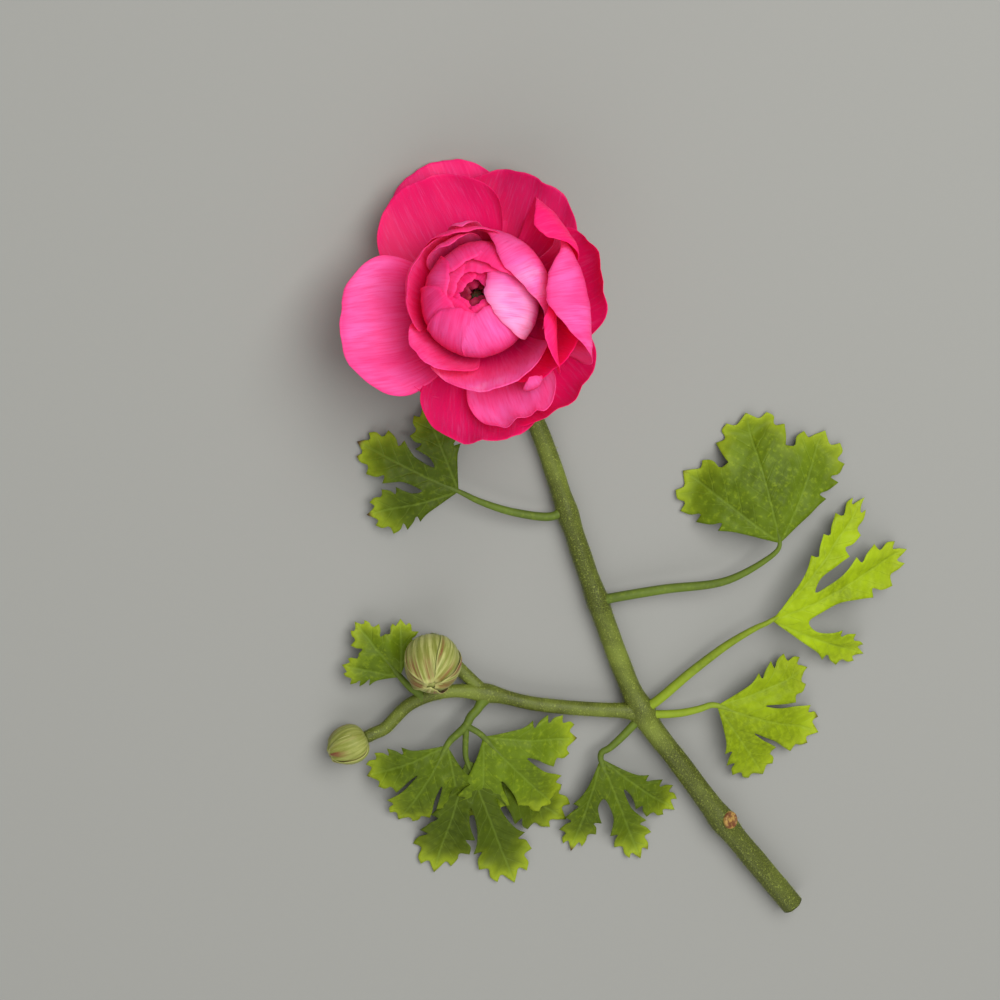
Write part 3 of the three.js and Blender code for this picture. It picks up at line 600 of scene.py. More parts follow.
def petal_surface(petal, columns, rows, crinkle):
    """Points of a petal's middle surface in the bloom's own axes, and u and v over it. u runs across it from
    -1 to 1 and v from its root to its tip."""
    u = np.sin(np.linspace(-np.pi / 2, np.pi / 2, columns))[:, None] * np.ones((1, rows))
    v = np.linspace(0, 1, rows)[None, :] * np.ones((columns, 1))
    phase = petal["phase"]
    # t is the place along the middle line, once the rounded end, the notch and the nibbles are cut away
    notch = petal["notch"] * np.exp(-(((u - 0.35) / 0.13) ** 2)) * v**6
    nibble = 0.006 * (np.sin(11 * u + 3 * phase) + 0.6 * np.sin(27 * u + 5 * phase)) * v**8
    ending = 1 - np.sqrt(1 - np.abs(u) ** petal["power"])
    t = v * (1 - petal["round"] * ending) - notch + nibble
    r, r_slope = bezier(petal["root"][0], petal["low"][0], petal["high"][0], petal["tip"][0], t)
    z, z_slope = bezier(petal["root"][1], petal["low"][1], petal["high"][1], petal["tip"][1], t)
    length = np.hypot(r_slope, z_slope)
    # The width grows from the claw to its widest place, and narrows a little from there to the tip
    grown = np.sin(np.pi / 2 * np.clip(t / PETAL_WIDEST, 0, 1)) ** 1.2
    fade = np.clip((t - PETAL_WIDEST) / (1 - PETAL_WIDEST), 0, 1)
    width = petal["half"] * (petal["claw"] + (1 - petal["claw"]) * grown) * (1 - petal["narrow"] * fade**2)
    across = u * width
    # push moves the surface inwards: cupped across, waved at its margins, flared, lapped and creased
    curve = petal["curve"][0] + (petal["curve"][1] - petal["curve"][0]) * t
    side = curve * np.sin(across / curve) + petal["shift"] * v**1.3
    cup = curve * (1 - np.cos(across / curve))
    wave = 0.6 * np.sin(6.6 * u + phase) + 0.4 * np.sin(12.3 * u + 2.3 * phase)
    margin = np.maximum(np.abs(u) ** 4, v**3)
    push = cup + petal["ruffle"] * wave * margin * v - petal["flare"] * v**5 - petal["lap"] * u * v
    mm_across = u * petal["half"]
    creases = np.sin(0.62 * mm_across + 7 * phase + 1.5 * v) + 0.7 * np.sin(1.13 * mm_across + 3 * phase)
    creases += 0.5 * np.sin(1.9 * mm_across + 5 * phase - 2 * v)
    push = push + crinkle * creases * np.clip(v * 1.6 - 0.2, 0, 1)
    radius = r - z_slope / length * push
    azimuth = math.radians(petal["at"])
    points = np.stack([
        radius * math.cos(azimuth) - side * math.sin(azimuth),
        radius * math.sin(azimuth) + side * math.cos(azimuth),
        z + r_slope / length * push,
    ], axis=-1)
    return points, u, v


def grid_normals(points):
    across = np.gradient(points, axis=0)
    along = np.gradient(points, axis=1)
    normals = np.cross(across, along)
    return normals / np.maximum(np.linalg.norm(normals, axis=-1, keepdims=True), 1e-9)


def sheet(points, u, v, petal, thickness, margin, seed, rib=None):
    """A thin closed solid about a grid of points, with the attributes that its paint reads."""
    columns, rows = points.shape[:2]
    rim = np.maximum(np.abs(u), v)
    taper = 1 - (1 - margin) * np.clip((rim - 0.8) / 0.2, 0, 1)
    offset = grid_normals(points) * (thickness / 2 * taper)[..., None]
    size = columns * rows
    faces = []
    for i in range(columns - 1):
        for j in range(rows - 1):
            a, b = i * rows + j, (i + 1) * rows + j
            faces.append((a, b, b + 1, a + 1))
            faces.append((size + a, size + a + 1, size + b + 1, size + b))
    ring = [i * rows for i in range(columns)]
    ring += [(columns - 1) * rows + j for j in range(1, rows)]
    ring += [i * rows + rows - 1 for i in range(columns - 2, -1, -1)]
    ring += list(range(rows - 2, 0, -1))
    for a, b in zip(ring, ring[1:] + ring[:1]):
        faces.append((b, a, a + size, b + size))
    both = np.concatenate([(points + offset).reshape(-1, 3), (points - offset).reshape(-1, 3)])
    grids = {"across": u * petal["half"], "along": v, "rim": rim}
    if rib is not None:
        grids["rib"] = rib
    attributes = {key: np.tile(values.ravel(), 2) for key, values in grids.items()}
    attributes |= even(both, tone=petal["tone"], seed=seed, back=np.repeat([0.0, 1.0], size))
    return both, faces, attributes


def petal_sheet(petal, columns, rows, settings, seed):
    points, u, v = petal_surface(petal, columns, rows, settings.crinkle / MM)
    return sheet(points, u, v, petal, settings.thickness / MM, settings.margin, seed)


def petal_sheets(petals, columns, rows, settings, seed):
    draw = np.random.default_rng(seed)
    return merged([petal_sheet(petal, columns, rows, settings, draw.uniform()) for petal in petals])


def throat_petals(seed):
    """Small shrivelled petals that close in round the hole."""
    draw = np.random.default_rng(seed)
    petals = []
    for k in range(THROAT_PETALS):
        at = 360 / THROAT_PETALS * k + draw.uniform(-16, 16)
        rim = HOLE_RADIUS + draw.uniform(-1.5, -0.1)
        top = BALL_TOP - 1.4 + draw.uniform(-1.2, 0.6)
        petals.append(cupped_petal(
            at, 11.5, rim, top, draw.uniform(4.5, 6.5), draw.uniform(0, 6), ruffle=0.7, round=0.4,
            narrow=0.35, lap=0.5,
        ))
    return petals


def turned(profile, sides):
    """Points and faces of a closed solid of revolution about +Z, from pairs of radius and height."""
    points = []
    for radius, height in profile:
        for k in range(sides):
            angle = 2 * math.pi * k / sides
            points.append((radius * math.cos(angle), radius * math.sin(angle), height))
    faces = []
    for i in range(len(profile) - 1):
        for k in range(sides):
            a, b = i * sides + k, i * sides + (k + 1) % sides
            faces.append((a, b, b + sides, a + sides))
    faces.append(tuple(reversed(range(sides))))
    faces.append(tuple(range((len(profile) - 1) * sides, len(profile) * sides)))
    return np.array(points), faces


def smooth_profile(profile, steps):
    """A profile of radius and height pairs with points added along a smooth curve."""
    return spline([(r, z, 0) for r, z in profile], steps)[:, :2]


# Curves


def spline(route, count):
    """Points at even distances along a centripetal curve through a route's points."""
    route = np.array(route, float)
    whole = np.vstack([2 * route[0] - route[1], route, 2 * route[-1] - route[-2]])
    pieces = []
    for i in range(len(route) - 1):
        a, b, c, d = whole[i:i + 4]
        knots = [0.0]
        for one, other in ((a, b), (b, c), (c, d)):
            knots.append(knots[-1] + max(np.linalg.norm(other - one), 1e-6) ** 0.5)
        k0, k1, k2, k3 = knots
        k = np.linspace(k1, k2, 40, endpoint=i == len(route) - 2)[:, None]
        ab = (k1 - k) / (k1 - k0) * a + (k - k0) / (k1 - k0) * b
        bc = (k2 - k) / (k2 - k1) * b + (k - k1) / (k2 - k1) * c
        cd = (k3 - k) / (k3 - k2) * c + (k - k2) / (k3 - k2) * d
        abc = (k2 - k) / (k2 - k0) * ab + (k - k0) / (k2 - k0) * bc
        bcd = (k3 - k) / (k3 - k1) * bc + (k - k1) / (k3 - k1) * cd
        pieces.append((k2 - k) / (k2 - k1) * abc + (k - k1) / (k2 - k1) * bcd)
    fine = np.vstack(pieces)
    distance = np.concatenate([[0], np.cumsum(np.linalg.norm(np.diff(fine, axis=0), axis=1))])
    wanted = np.linspace(0, distance[-1], count)
    return np.stack([np.interp(wanted, distance, fine[:, axis]) for axis in range(3)], axis=-1)


def tube(route, radius_at, sides, ridges, cut_end=False):
    """A closed tube along a route. radius_at takes the share and the distance in millimetres as arrays."""
    length = np.linalg.norm(np.diff(np.array(route, float), axis=0), axis=1).sum()
    line = spline(route, max(4, int(length / RING_SPACING)))
    distance = np.concatenate([[0], np.cumsum(np.linalg.norm(np.diff(line, axis=0), axis=1))])
    radius = radius_at(distance / distance[-1], distance)
    tangent = np.gradient(line, axis=0)
    tangent /= np.linalg.norm(tangent, axis=1, keepdims=True)
    side = np.cross(tangent[0], (0.0, 0.0, 1.0) if abs(tangent[0][2]) < 0.9 else (1.0, 0.0, 0.0))
    rings = [(line[i], tangent[i], radius[i], distance[i], 0.0) for i in range(len(line))]
    if cut_end:
        for share, ahead, depth in CUT_RINGS:
            centre = line[-1] + tangent[-1] * ahead
            rings.append((centre, tangent[-1], radius[-1] * share, distance[-1], depth))
    angle = np.linspace(0, 2 * np.pi, sides, endpoint=False)
    points = []
    for centre, forward, size, place, _ in rings:
        side = side - forward * np.dot(side, forward)
        side /= np.linalg.norm(side)
        out = np.cos(angle)[:, None] * side + np.sin(angle)[:, None] * np.cross(side, forward)
        swell = 1 + ridges * (np.cos(7 * angle + place * 0.02) + 0.6 * np.cos(11 * angle - place * 0.03))
        points.append(centre + out * (size * swell)[:, None])
    faces = []
    for i in range(len(rings) - 1):
        for k in range(sides):
            a, b = i * sides + k, i * sides + (k + 1) % sides
            faces.append((a, a + sides, b + sides, b))
    faces.append(tuple(range(sides)))
    faces.append(tuple(reversed(range((len(rings) - 1) * sides, len(rings) * sides))))
    points = np.concatenate(points)
    attributes = even(
        points, around=np.tile(angle, len(rings)), length=np.repeat([ring[3] for ring in rings], sides),
        cut=np.repeat([ring[4] for ring in rings], sides), worn=0,
    )
    return points, faces, attributes


# Stem


def in_bloom_plane(x, z):
    """A place in the plane that the bloom leans in, from its foot."""
    lean = math.radians(BLOOM_LEAN)
    ahead = x * math.cos(lean) - z * math.sin(lean)
    up = x * math.sin(lean) + z * math.cos(lean)
    return BLOOM_BASE + (ahead, 0, up)


STEM_ROUTE = [
    in_bloom_plane(0, -2.0),
    in_bloom_plane(0.3, -8),
    (-34.5, 0.3, 7.6),
    (-24, 0.1, 3.9),
    (-10, -0.4, 3.0),
    (3.4, -1, 3.1),
    (54, -8.7, 3.9),
    (99, -13.4, 4.1),
    (122, -10.4, 4.2),
    (144.8, -7.2, 4.4),
    (183, 0, 4.0),
]
TOP_NODE = (30, -4.9, 3.5)
UPPER_NODE = (60, -9.6, 4.0)
MAIN_NODE = (99, -13.4, 4.1)
SCAR_PLACE = (144.8, -7.2, 4.4)
SCAR_OFFSET = np.array([0, 2.1, 2.7])
SCAR_TILT = -38
SCAR_SIDES = 32
SHOOT_NODE = (68.6, -53.2, 5)

BUD_TILT = Vector((0.255, -0.297, 0.92)).normalized()
BUD_FOOT = Vector((45.6, -60.2, 7.6))
SMALL_BUD_TILT = Vector((-0.1, -0.98, 0.1)).normalized()
SMALL_BUD_FOOT = Vector((62.4, -91.5, 6.3))


def behind(foot, tilt, distance):
    """A point of a bud's stalk, straight behind the bud's foot."""
    return tuple(foot - tilt * distance)


SHOOT_ROUTE = [
    MAIN_NODE, (90, -27, 5), (79, -42, 5.2), SHOOT_NODE, (62, -64, 4.8), (60.3, -75, 4.6),
    behind(SMALL_BUD_FOOT, SMALL_BUD_TILT, 6), behind(SMALL_BUD_FOOT, SMALL_BUD_TILT, 3),
    behind(SMALL_BUD_FOOT, SMALL_BUD_TILT, -0.4),
]
PEDICEL_ROUTE = [
    SHOOT_NODE, (58, -56.5, 3.4), (49, -58.4, 2.6),
    behind(BUD_FOOT, BUD_TILT, 3), behind(BUD_FOOT, BUD_TILT, -0.4),
]


def distance_along(route, place):
    line = spline(route, 800)
    step = np.concatenate([[0], np.cumsum(np.linalg.norm(np.diff(line, axis=0), axis=1))])
    return step[np.argmin(np.linalg.norm(line - np.array(place, float), axis=1))]


def swelling(distance, place):
    return NODE_SWELLING * np.exp(-(((distance - place) / NODE_SPREAD) ** 2))


def main_stem():
    top_at, upper_at, main_at, scar_at = [
        distance_along(STEM_ROUTE, place) for place in (TOP_NODE, UPPER_NODE, MAIN_NODE, SCAR_PLACE)
    ]

    def radius_at(share, distance):
        plain = np.interp(share, [0, 0.5, 1], [NECK_RADIUS, MID_RADIUS, FOOT_RADIUS])
        small = 0.5 * (swelling(distance, upper_at) + swelling(distance, top_at))
        uneven = 0.05 * np.sin(distance * 0.21) + 0.04 * np.sin(distance * 0.47 + 1)
        return plain + swelling(distance, main_at) + 0.8 * swelling(distance, scar_at) + small + uneven

    return tube(STEM_ROUTE, radius_at, sides=40, ridges=0.012, cut_end=True)


def side_shoot():
    node_at = distance_along(SHOOT_ROUTE, SHOOT_NODE)

    def radius_at(share, distance):
        plain = SHOOT_RADIUS + (PEDICEL_RADIUS - SHOOT_RADIUS) * share
        return plain + swelling(distance, node_at) + 1.2 * np.exp(-((distance / NODE_SPREAD) ** 2))

    return tube(SHOOT_ROUTE, radius_at, sides=28, ridges=0.015)


def pedicel():
    def radius_at(share, distance):
        return np.full(len(share), PEDICEL_RADIUS)

    return tube(PEDICEL_ROUTE, radius_at, sides=24, ridges=0.015)


def leaf_scar():
    """The round tan scar of a shed leaf, with a raised rim."""
    profile = smooth_profile([
        (2.9, -1.4), (2.9, -0.2), (2.62, 0.85), (2.2, 1.15), (1.7, 0.95), (0.7, 0.8), (0.05, 0.86),
    ], 22)
    points, faces = turned(profile, SCAR_SIDES)
    tilt = np.array(Matrix.Rotation(math.radians(SCAR_TILT), 3, "X"))
    worn = np.repeat(np.clip((profile[:, 1] + 0.2) / 0.7, 0, 1), SCAR_SIDES)
    points = points @ tilt.T + SCAR_PLACE + SCAR_OFFSET
    return points, faces, even(points, around=0, length=0, cut=0, worn=worn)


# Leaves


def lobe(angle, reach, width, teeth):
    return {"angle": angle, "reach": reach, "width": width, "teeth": teeth}


def three_lobed(reach, spread, width=0.2):
    return [
        lobe(spread, reach * 0.8, reach * width, 3),
        lobe(0, reach, reach * width, 3),
        lobe(-spread, reach * 0.8, reach * width, 3),
    ]


def leaflet(foot, heading, sinus, lobes, **more):
    """A leaflet with its usual bending. sinus is the share of the lobes' length that is left uncut."""
    made = {
        "foot": foot, "heading": heading, "sinus": sinus, "lobes": lobes,
        "pitch": 10, "bend": 42, "droop": 42, "fold": 0.14, "shade": 0.3,
    }
    made.update(more)
    return made


LEAVES = [
    {
        "name": "leaf_neck", "young": False, "radius": 1.3, "joins": (27.6, -4.6, 3.4),
        "stalk": [(28.2, -9.0, 4.6), (21, -19, 5.6), (12, -27, 6.4)],
        "leaflets": [leaflet((6, -31, 6.8), 216, 0.42, three_lobed(34, 42, 0.18), shade=0.8)],
    },
    {
        "name": "leaf_upper", "young": False, "radius": 1.5, "joins": (59.8, -9.4, 4.0),
        "stalk": [(60.5, -5.6, 5.2), (66, 10, 5.6), (72.5, 28, 7.4), (72, 42, 9)],
        "leaflets": [leaflet((69, 48, 9.5), 167, 0.54, three_lobed(44, 38, 0.22), droop=30, shade=0.1)],
    },
    {
        "name": "leaf_trident", "young": True, "radius": 1.5, "joins": (98.5, -13.0, 4.2),
        "stalk": [(98.1, -8.9, 5.4), (94.5, 6, 6), (91.5, 20, 7.5), (90.5, 30, 8.8)],
        "leaflets": [leaflet((90.5, 35, 9.3), 95, 0.34, [
            lobe(17, 47, 4.2, 3), lobe(-9, 49, 6.2, 3), lobe(-58, 34, 4.6, 2),
        ], pitch=14, bend=52, shade=0.0)],
    },
    {
        "name": "leaf_bright", "young": True, "radius": 1.3, "joins": (100.5, -13.0, 4.2),
        "stalk": [(102.6, -8.7, 5.2), (105, -3, 6.2), (106.5, 3, 7)],
        "leaflets": [leaflet((108, 8, 7.4), 42, 0.5, three_lobed(38, 36, 0.18))],
    },
    {
        "name": "leaf_forked", "young": False, "radius": 1.3, "joins": (100.5, -13.6, 4.2),
        "stalk": [(101.5, -17.7, 5.0), (103, -23, 5.8), (104, -28, 6.4)],
        "leaflets": [leaflet((105.5, -31.5, 6.6), -8, 0.4, [
            lobe(30, 32, 5, 3), lobe(2, 42, 4.8, 2), lobe(-32, 33, 4.6, 3),
        ], shade=0.6)],
    },
    {
        "name": "leaf_shoot", "young": False, "radius": 1.4, "joins": (69.6, -54.0, 5.2),
        "stalk": [(71.4, -57.9, 7.1), (72, -60.5, 8), (73.5, -63, 9)],
        "leaflets": [
            leaflet((76, -71, 9.6), -54, 0.5, three_lobed(32, 38, 0.19), bend=34, shade=0.5),
            leaflet((79, -60, 10), 14, 0.52, three_lobed(37, 40, 0.19), shade=0.1),
            leaflet((84, -68, 8.4), -7, 0.38, three_lobed(50, 32, 0.15), pitch=6, bend=60, shade=0.95),
        ],
    },
    {
        "name": "leaf_bud", "young": False, "radius": 1.1, "joins": (60.6, -71.0, 4.7),
        "stalk": [(57.7, -71.4, 4.7), (57, -71.8, 4.8), (56, -72.3, 4.9)],
        "leaflets": [leaflet((50.6, -73.6, 5.1), 190, 0.45, three_lobed(22, 38, 0.18))],
    },
]


def lobe_width(one, share):
    """Half the width of a lobe at a share of its length: a wedge with a blunt end."""
    if share < LOBE_WIDEST:
        return one["width"] * (LOBE_FOOT + (1 - LOBE_FOOT) * (share / LOBE_WIDEST) ** 1.3)
    return one["width"] * max(0.0, 1 - ((share - LOBE_WIDEST) / (1 - LOBE_WIDEST)) ** 2.6) ** 0.45


def plan_point(one, share, offset):
    angle = math.radians(one["angle"])
    along = share * one["reach"]
    return (
        along * math.cos(angle) - offset * math.sin(angle),
        along * math.sin(angle) + offset * math.cos(angle),
    )


def cut_point(made, one, other):
    middle = math.radians((one["angle"] + other["angle"]) / 2)
    depth = made["sinus"] * min(one["reach"], other["reach"])
    return depth * math.cos(middle), depth * math.sin(middle)


def lobe_margin(one, side, start, teeth):
    """The toothed margin of one side of a lobe from foot to tip, as (point, pointed) pairs. Each tooth leans
    forward and has a notch behind it."""
    points = [(plan_point(one, start, side * lobe_width(one, start)), False)]
    for tooth in TOOTH_PLACES[-teeth:]:
        if tooth - 0.1 < start:
            continue
        width = lobe_width(one, tooth)
        shoulder = lobe_width(one, tooth - TOOTH_LENGTH) + 0.3 * TOOTH_DEPTH
        points.append((plan_point(one, tooth - TOOTH_LENGTH, side * shoulder), False))
        points.append((plan_point(one, tooth, side * (width + TOOTH_DEPTH)), True))
        points.append((plan_point(one, tooth + 0.02, side * width * 0.85), False))
    for share, offset, pointed in END_TEETH:
        points.append((plan_point(one, share, side * one["width"] * offset), pointed))
    return points


def leaflet_outline(made, spacing):
    """The closed outline of a leaflet in plan, with pointed teeth and round cuts."""
    lobes = made["lobes"]
    marks = [((0.0, 0.0), True)]
    for k, one in enumerate(lobes):
        first, last = k == 0, k == len(lobes) - 1
        inner = made["sinus"] + 0.08
        marks += lobe_margin(one, 1, 0.25 if first else inner, one["teeth"] if first else 2)
        marks.append((plan_point(one, 1.05, 0), True))
        marks += lobe_margin(one, -1, 0.25 if last else inner, one["teeth"] if last else 2)[::-1]
        if not last:
            marks.append((cut_point(made, one, lobes[k + 1]), False))
    marks.append(((0.0, 0.0), True))
    outline = []
    run = [marks[0][0]]
    for point, pointed in marks[1:]:
        run.append(point)
        if pointed:
            flat = [(x, y, 0) for x, y in run]
            reach = np.linalg.norm(np.diff(np.array(flat), axis=0), axis=1).sum()
            line = spline(flat, max(3, int(reach / spacing)))
            outline.extend(line[:-1, :2].tolist())
            run = [point]
    return np.array(outline)


def inside(points, outline):
    """Which points lie inside a closed outline."""
    x, y = points[:, 0:1], points[:, 1:2]
    a, b = outline, np.roll(outline, -1, axis=0)
    crosses = (a[:, 1] > y) != (b[:, 1] > y)
    rise = np.where(np.abs(b[:, 1] - a[:, 1]) < 1e-12, 1e-12, b[:, 1] - a[:, 1])
    left = x < (b[:, 0] - a[:, 0]) * (y - a[:, 1]) / rise + a[:, 0]
    return (crosses & left).sum(axis=1) % 2 == 1


def distance_to(points, outline):
    """The distance from each point to a closed outline."""
    a, b = outline, np.roll(outline, -1, axis=0)
    step = b - a
    share = ((points[:, None] - a) * step).sum(-1) / np.maximum((step * step).sum(-1), 1e-12)
    nearest = a + np.clip(share, 0, 1)[..., None] * step
    return np.linalg.norm(points[:, None] - nearest, axis=-1).min(axis=1)


def rib_places(made, plan):
    """For each point of a leaflet's plan: its distance from the nearest lobe's rib, how far along that rib it
    lies, and its distance from the foot as a share of the leaflet's reach there."""
    best = np.full(len(plan), 1e9)
    along = np.zeros(len(plan))
    for one in made["lobes"]:
        angle = math.radians(one["angle"])
        ahead = plan @ np.array([math.cos(angle), math.sin(angle)])
        off = np.abs(plan @ np.array([-math.sin(angle), math.cos(angle)]))
        off = np.where(ahead < 0, 1e6, off)
        closer = off < best
        best = np.where(closer, off, best)
        along = np.where(closer, ahead, along)
    lobes = sorted(made["lobes"], key=lambda one: one["angle"])
    direction = np.degrees(np.arctan2(plan[:, 1], plan[:, 0]))
    reach = np.interp(direction, [one["angle"] for one in lobes], [one["reach"] for one in lobes])
    return np.minimum(best, 1e3), along, np.hypot(plan[:, 0], plan[:, 1]) / reach


def leaflet_heights(made, plan, from_rib):
    """Places a leaflet's plan in the plant's frame: bent down along its length, drooping to its sides, folded
    up along its ribs, and lying flat where it meets the surface."""
    along, across = plan[:, 0], plan[:, 1]
    pitch = math.radians(made["pitch"])
    bent = pitch - along / made["bend"]
    ahead = made["bend"] * (math.sin(pitch) - np.sin(bent))
    rise = made["bend"] * (np.cos(bent) - math.cos(pitch))
    outward = (along**2 + across**2) / 900
    wave = 0.6 * outward * np.sin(0.45 * across + 0.2 * along + made["heading"])
    up = rise - across**2 / (2 * made["droop"]) + made["fold"] * from_rib + wave
    heading = math.radians(made["heading"])
    x = made["foot"][0] + ahead * math.cos(heading) - across * math.sin(heading)
    y = made["foot"][1] + ahead * math.sin(heading) + across * math.cos(heading)
    z = made["foot"][2] + up
    return np.stack([x, y, np.maximum(z, LOWEST_BLADE)], axis=-1), z - LOWEST_BLADE


def blade(made, settings):
    """The blade of a leaflet, with its ribs and side veins sunk into its face and standing out below."""
    spacing = settings.spacing / MM
    outline = leaflet_outline(made, spacing * 0.8)
    # Points in plan: the outline, the ribs, and rows of near-even triangles between them
    low, high = outline.min(0), outline.max(0)
    rows = []
    for k, y in enumerate(np.arange(low[1], high[1], spacing * 0.87)):
        x = np.arange(low[0], high[0], spacing) + (k % 2) * spacing / 2
        rows.append(np.stack([x, np.full(len(x), y)], axis=-1))
    grid = np.concatenate(rows)
    grid = grid[inside(grid, outline)]
    grid = grid[distance_to(grid, outline) > spacing * 0.5]
    ribs = np.array([
        plan_point(one, share, 0) for one in made["lobes"]
        for share in np.arange(0.1, 0.96, 0.8 * spacing / one["reach"])
    ])
    near = np.linalg.norm(grid[:, None] - ribs, axis=-1).min(axis=1) < 0.5 * spacing
    given = [Vector(p) for p in np.concatenate([outline, ribs, grid[~near]])]
    found = delaunay_2d_cdt(given, [], [list(range(len(outline)))], 1, 1e-5)
    plan = np.array([tuple(p) for p in found[0]])
    triangles = np.array(found[2])
    a, b, c = (plan[triangles[:, k]] for k in range(3))
    flipped = np.cross(b - a, c - a) < 0
    triangles[flipped] = triangles[flipped][:, ::-1]
    edge = distance_to(plan, outline)
    from_rib, along, share = rib_places(made, plan)
    points, above = leaflet_heights(made, plan, from_rib)
    # Heights over the smooth blade: sunk veins, a quilted face where it lies free, and a ruffled margin
    phase = along - VEIN_SLANT * from_rib + VEIN_SPACING / 4
    side = np.abs(phase % VEIN_SPACING - VEIN_SPACING / 2)
    veins = np.maximum(np.exp(-((from_rib / 0.7) ** 2)), 0.5 * np.exp(-((side / 0.5) ** 2)))
    quilt = 0.28 * np.sin(1.1 * plan[:, 0] + 2 * made["heading"]) * np.sin(1.3 * plan[:, 1])
    free = np.clip(above / 1.5, 0, 1)
    ruffle = np.sin(0.52 * plan[:, 0] + made["heading"]) + np.sin(0.47 * plan[:, 1] + 2 * made["heading"])
    lift = 0.55 * (1 + 0.5 * ruffle) * np.exp(-edge / 3.5) * np.clip(along / 12, 0, 1)
    height = (quilt - 0.3 * veins) * free * np.clip(edge / 1.5, 0, 1) + lift * settings.ruffle / MM
    half = settings.thickness / MM / 2 * (0.45 + 0.55 * np.clip(edge / 1.2, 0, 1))
    size = len(plan)
    upper, lower = points.copy(), points.copy()
    upper[:, 2] += height + half
    lower[:, 2] += height - half - 0.35 * veins * free * np.clip(edge / 1.5, 0, 1)
    lower[:, 2] = np.maximum(lower[:, 2], 0.02)
    # The upper face, the lower one turned over, and a wall along each edge that has one triangle only
    faces = [tuple(t) for t in triangles] + [tuple(t[::-1] + size) for t in triangles]
    directed = set()
    for t in triangles:
        directed.update(((t[0], t[1]), (t[1], t[2]), (t[2], t[0])))
    faces += [(b, a, a + size, b + size) for a, b in directed if (b, a) not in directed]
    both = np.concatenate([upper, lower])
    attributes = even(
        both, rib=np.tile(from_rib, 2), along=np.tile(along, 2), edge=np.tile(edge, 2),
        reach=np.tile(share, 2), under=np.repeat([0.0, 1.0], size), shade=made["shade"],
    )
    return both, faces, attributes


def stalk_part(route, start, end, flare):
    """A leaf's stalk or a leaflet's, wider where it clasps what carries it."""
    def radius_at(share, distance):
        return start + (end - start) * share**2.5 + flare * np.exp(-((distance / 2.2) ** 2))

    points, faces, given = tube(route, radius_at, sides=18, ridges=0.02)
    return points, faces, even(
        points, rib=3.0, along=given["length"] * 0.13, edge=3.0, reach=0.3, under=0.35, shade=0.5,
    )


def stalk_end(made, start):
    """The last points of a stalk from a start into a leaflet's blade, where it turns into the rib."""
    heading = math.radians(made["heading"])
    foot = np.array(made["foot"], float)
    ahead = (foot - start) / np.linalg.norm(foot - start)
    turn = ahead + (math.cos(heading), math.sin(heading), 0)
    before = foot - 2 * turn / np.linalg.norm(turn)
    within = leaflet_heights(made, np.array([[9.0, 0.0]]), np.array([0.0]))[0][0]
    return [before, foot, within - (0, 0, 0.25)]


def leaf_parts(leaf, settings):
    """A leaf's stalk and blades. With one leaflet the stalk runs on into its rib."""
    radius = leaf["radius"]
    route = [leaf["joins"], *leaf["stalk"]]
    end = np.array(route[-1], float)
    first, *others = leaf["leaflets"]
    parts = [stalk_part(route + stalk_end(first, end), radius, 0.3, 0.9)]
    for made in others:
        parts.append(stalk_part([end, *stalk_end(made, end)], radius * 0.7, 0.3, 0.0))
    parts += [blade(made, settings) for made in leaf["leaflets"]]
    return parts


# Buds and calyx


def sepal_sheet(petal, columns, rows, thickness, seed, ribs, rib_height):
    """A sepal with ribs along it."""
    points, u, v = petal_surface(petal, columns, rows, 0.0)
    rib = 0.5 + 0.5 * np.cos(2 * np.pi * ribs * u / 2)
    lift = rib_height * (rib - 0.5) * np.sin(np.pi * np.clip(v, 0, 1)) ** 0.7
    points = points - grid_normals(points) * lift[..., None]
    return sheet(points, u, v, petal, thickness, margin=0.4, seed=seed, rib=rib)


def plain_part(points, faces, across, **values):
    """A core or collar with the attributes that petals and sepals have."""
    return points, faces, even(points, across=across * points[:, 0], seed=0, **values)


def bud_parts(radius, height, turn, seed):
    """A closed bud: five ribbed sepals wrapped round a core, each over the next, to a tip."""
    draw = np.random.default_rng(seed)
    core = smooth_profile([
        (0.2 * radius, 0.2), (0.66 * radius, 0.1 * height), (0.88 * radius, 0.3 * height),
        (0.9 * radius, 0.52 * height), (0.7 * radius, 0.77 * height), (0.3 * radius, 0.92 * height),
        (0.02 * radius, 0.955 * height),
    ], 24)
    parts = [plain_part(*turned(core, sides=32), across=1, along=0.4, tone=0.5, rim=0.3, back=1, rib=0.4)]
    for k in range(SEPALS):
        belly = radius * (0.975 - 0.02 * (k % 2))
        control = (belly - 0.125 * 0.3 * radius) / 0.75
        sepal = cupped_petal(
            turn + 360 / SEPALS * k + draw.uniform(-6, 6), belly, 0.12 * radius,
            height * draw.uniform(0.95, 1.0), radius * draw.uniform(0.72, 0.86), 1.7 * k,
            root=(0.22 * radius, 0.35), low=(control, 0.02 * height),
            high=(control * draw.uniform(0.93, 1.0), 0.82 * height),
            curve=(belly * 1.04, belly * 1.05), ruffle=0.3, round=0.36, power=2.2, claw=0.5, narrow=0.4,
            lap=0.08 * radius, flare=0.02 * radius,
        )
        parts.append(sepal_sheet(
            sepal, 41, 41, thickness=0.35, seed=draw.uniform(), ribs=6, rib_height=0.12,
        ))
    return merged(parts)


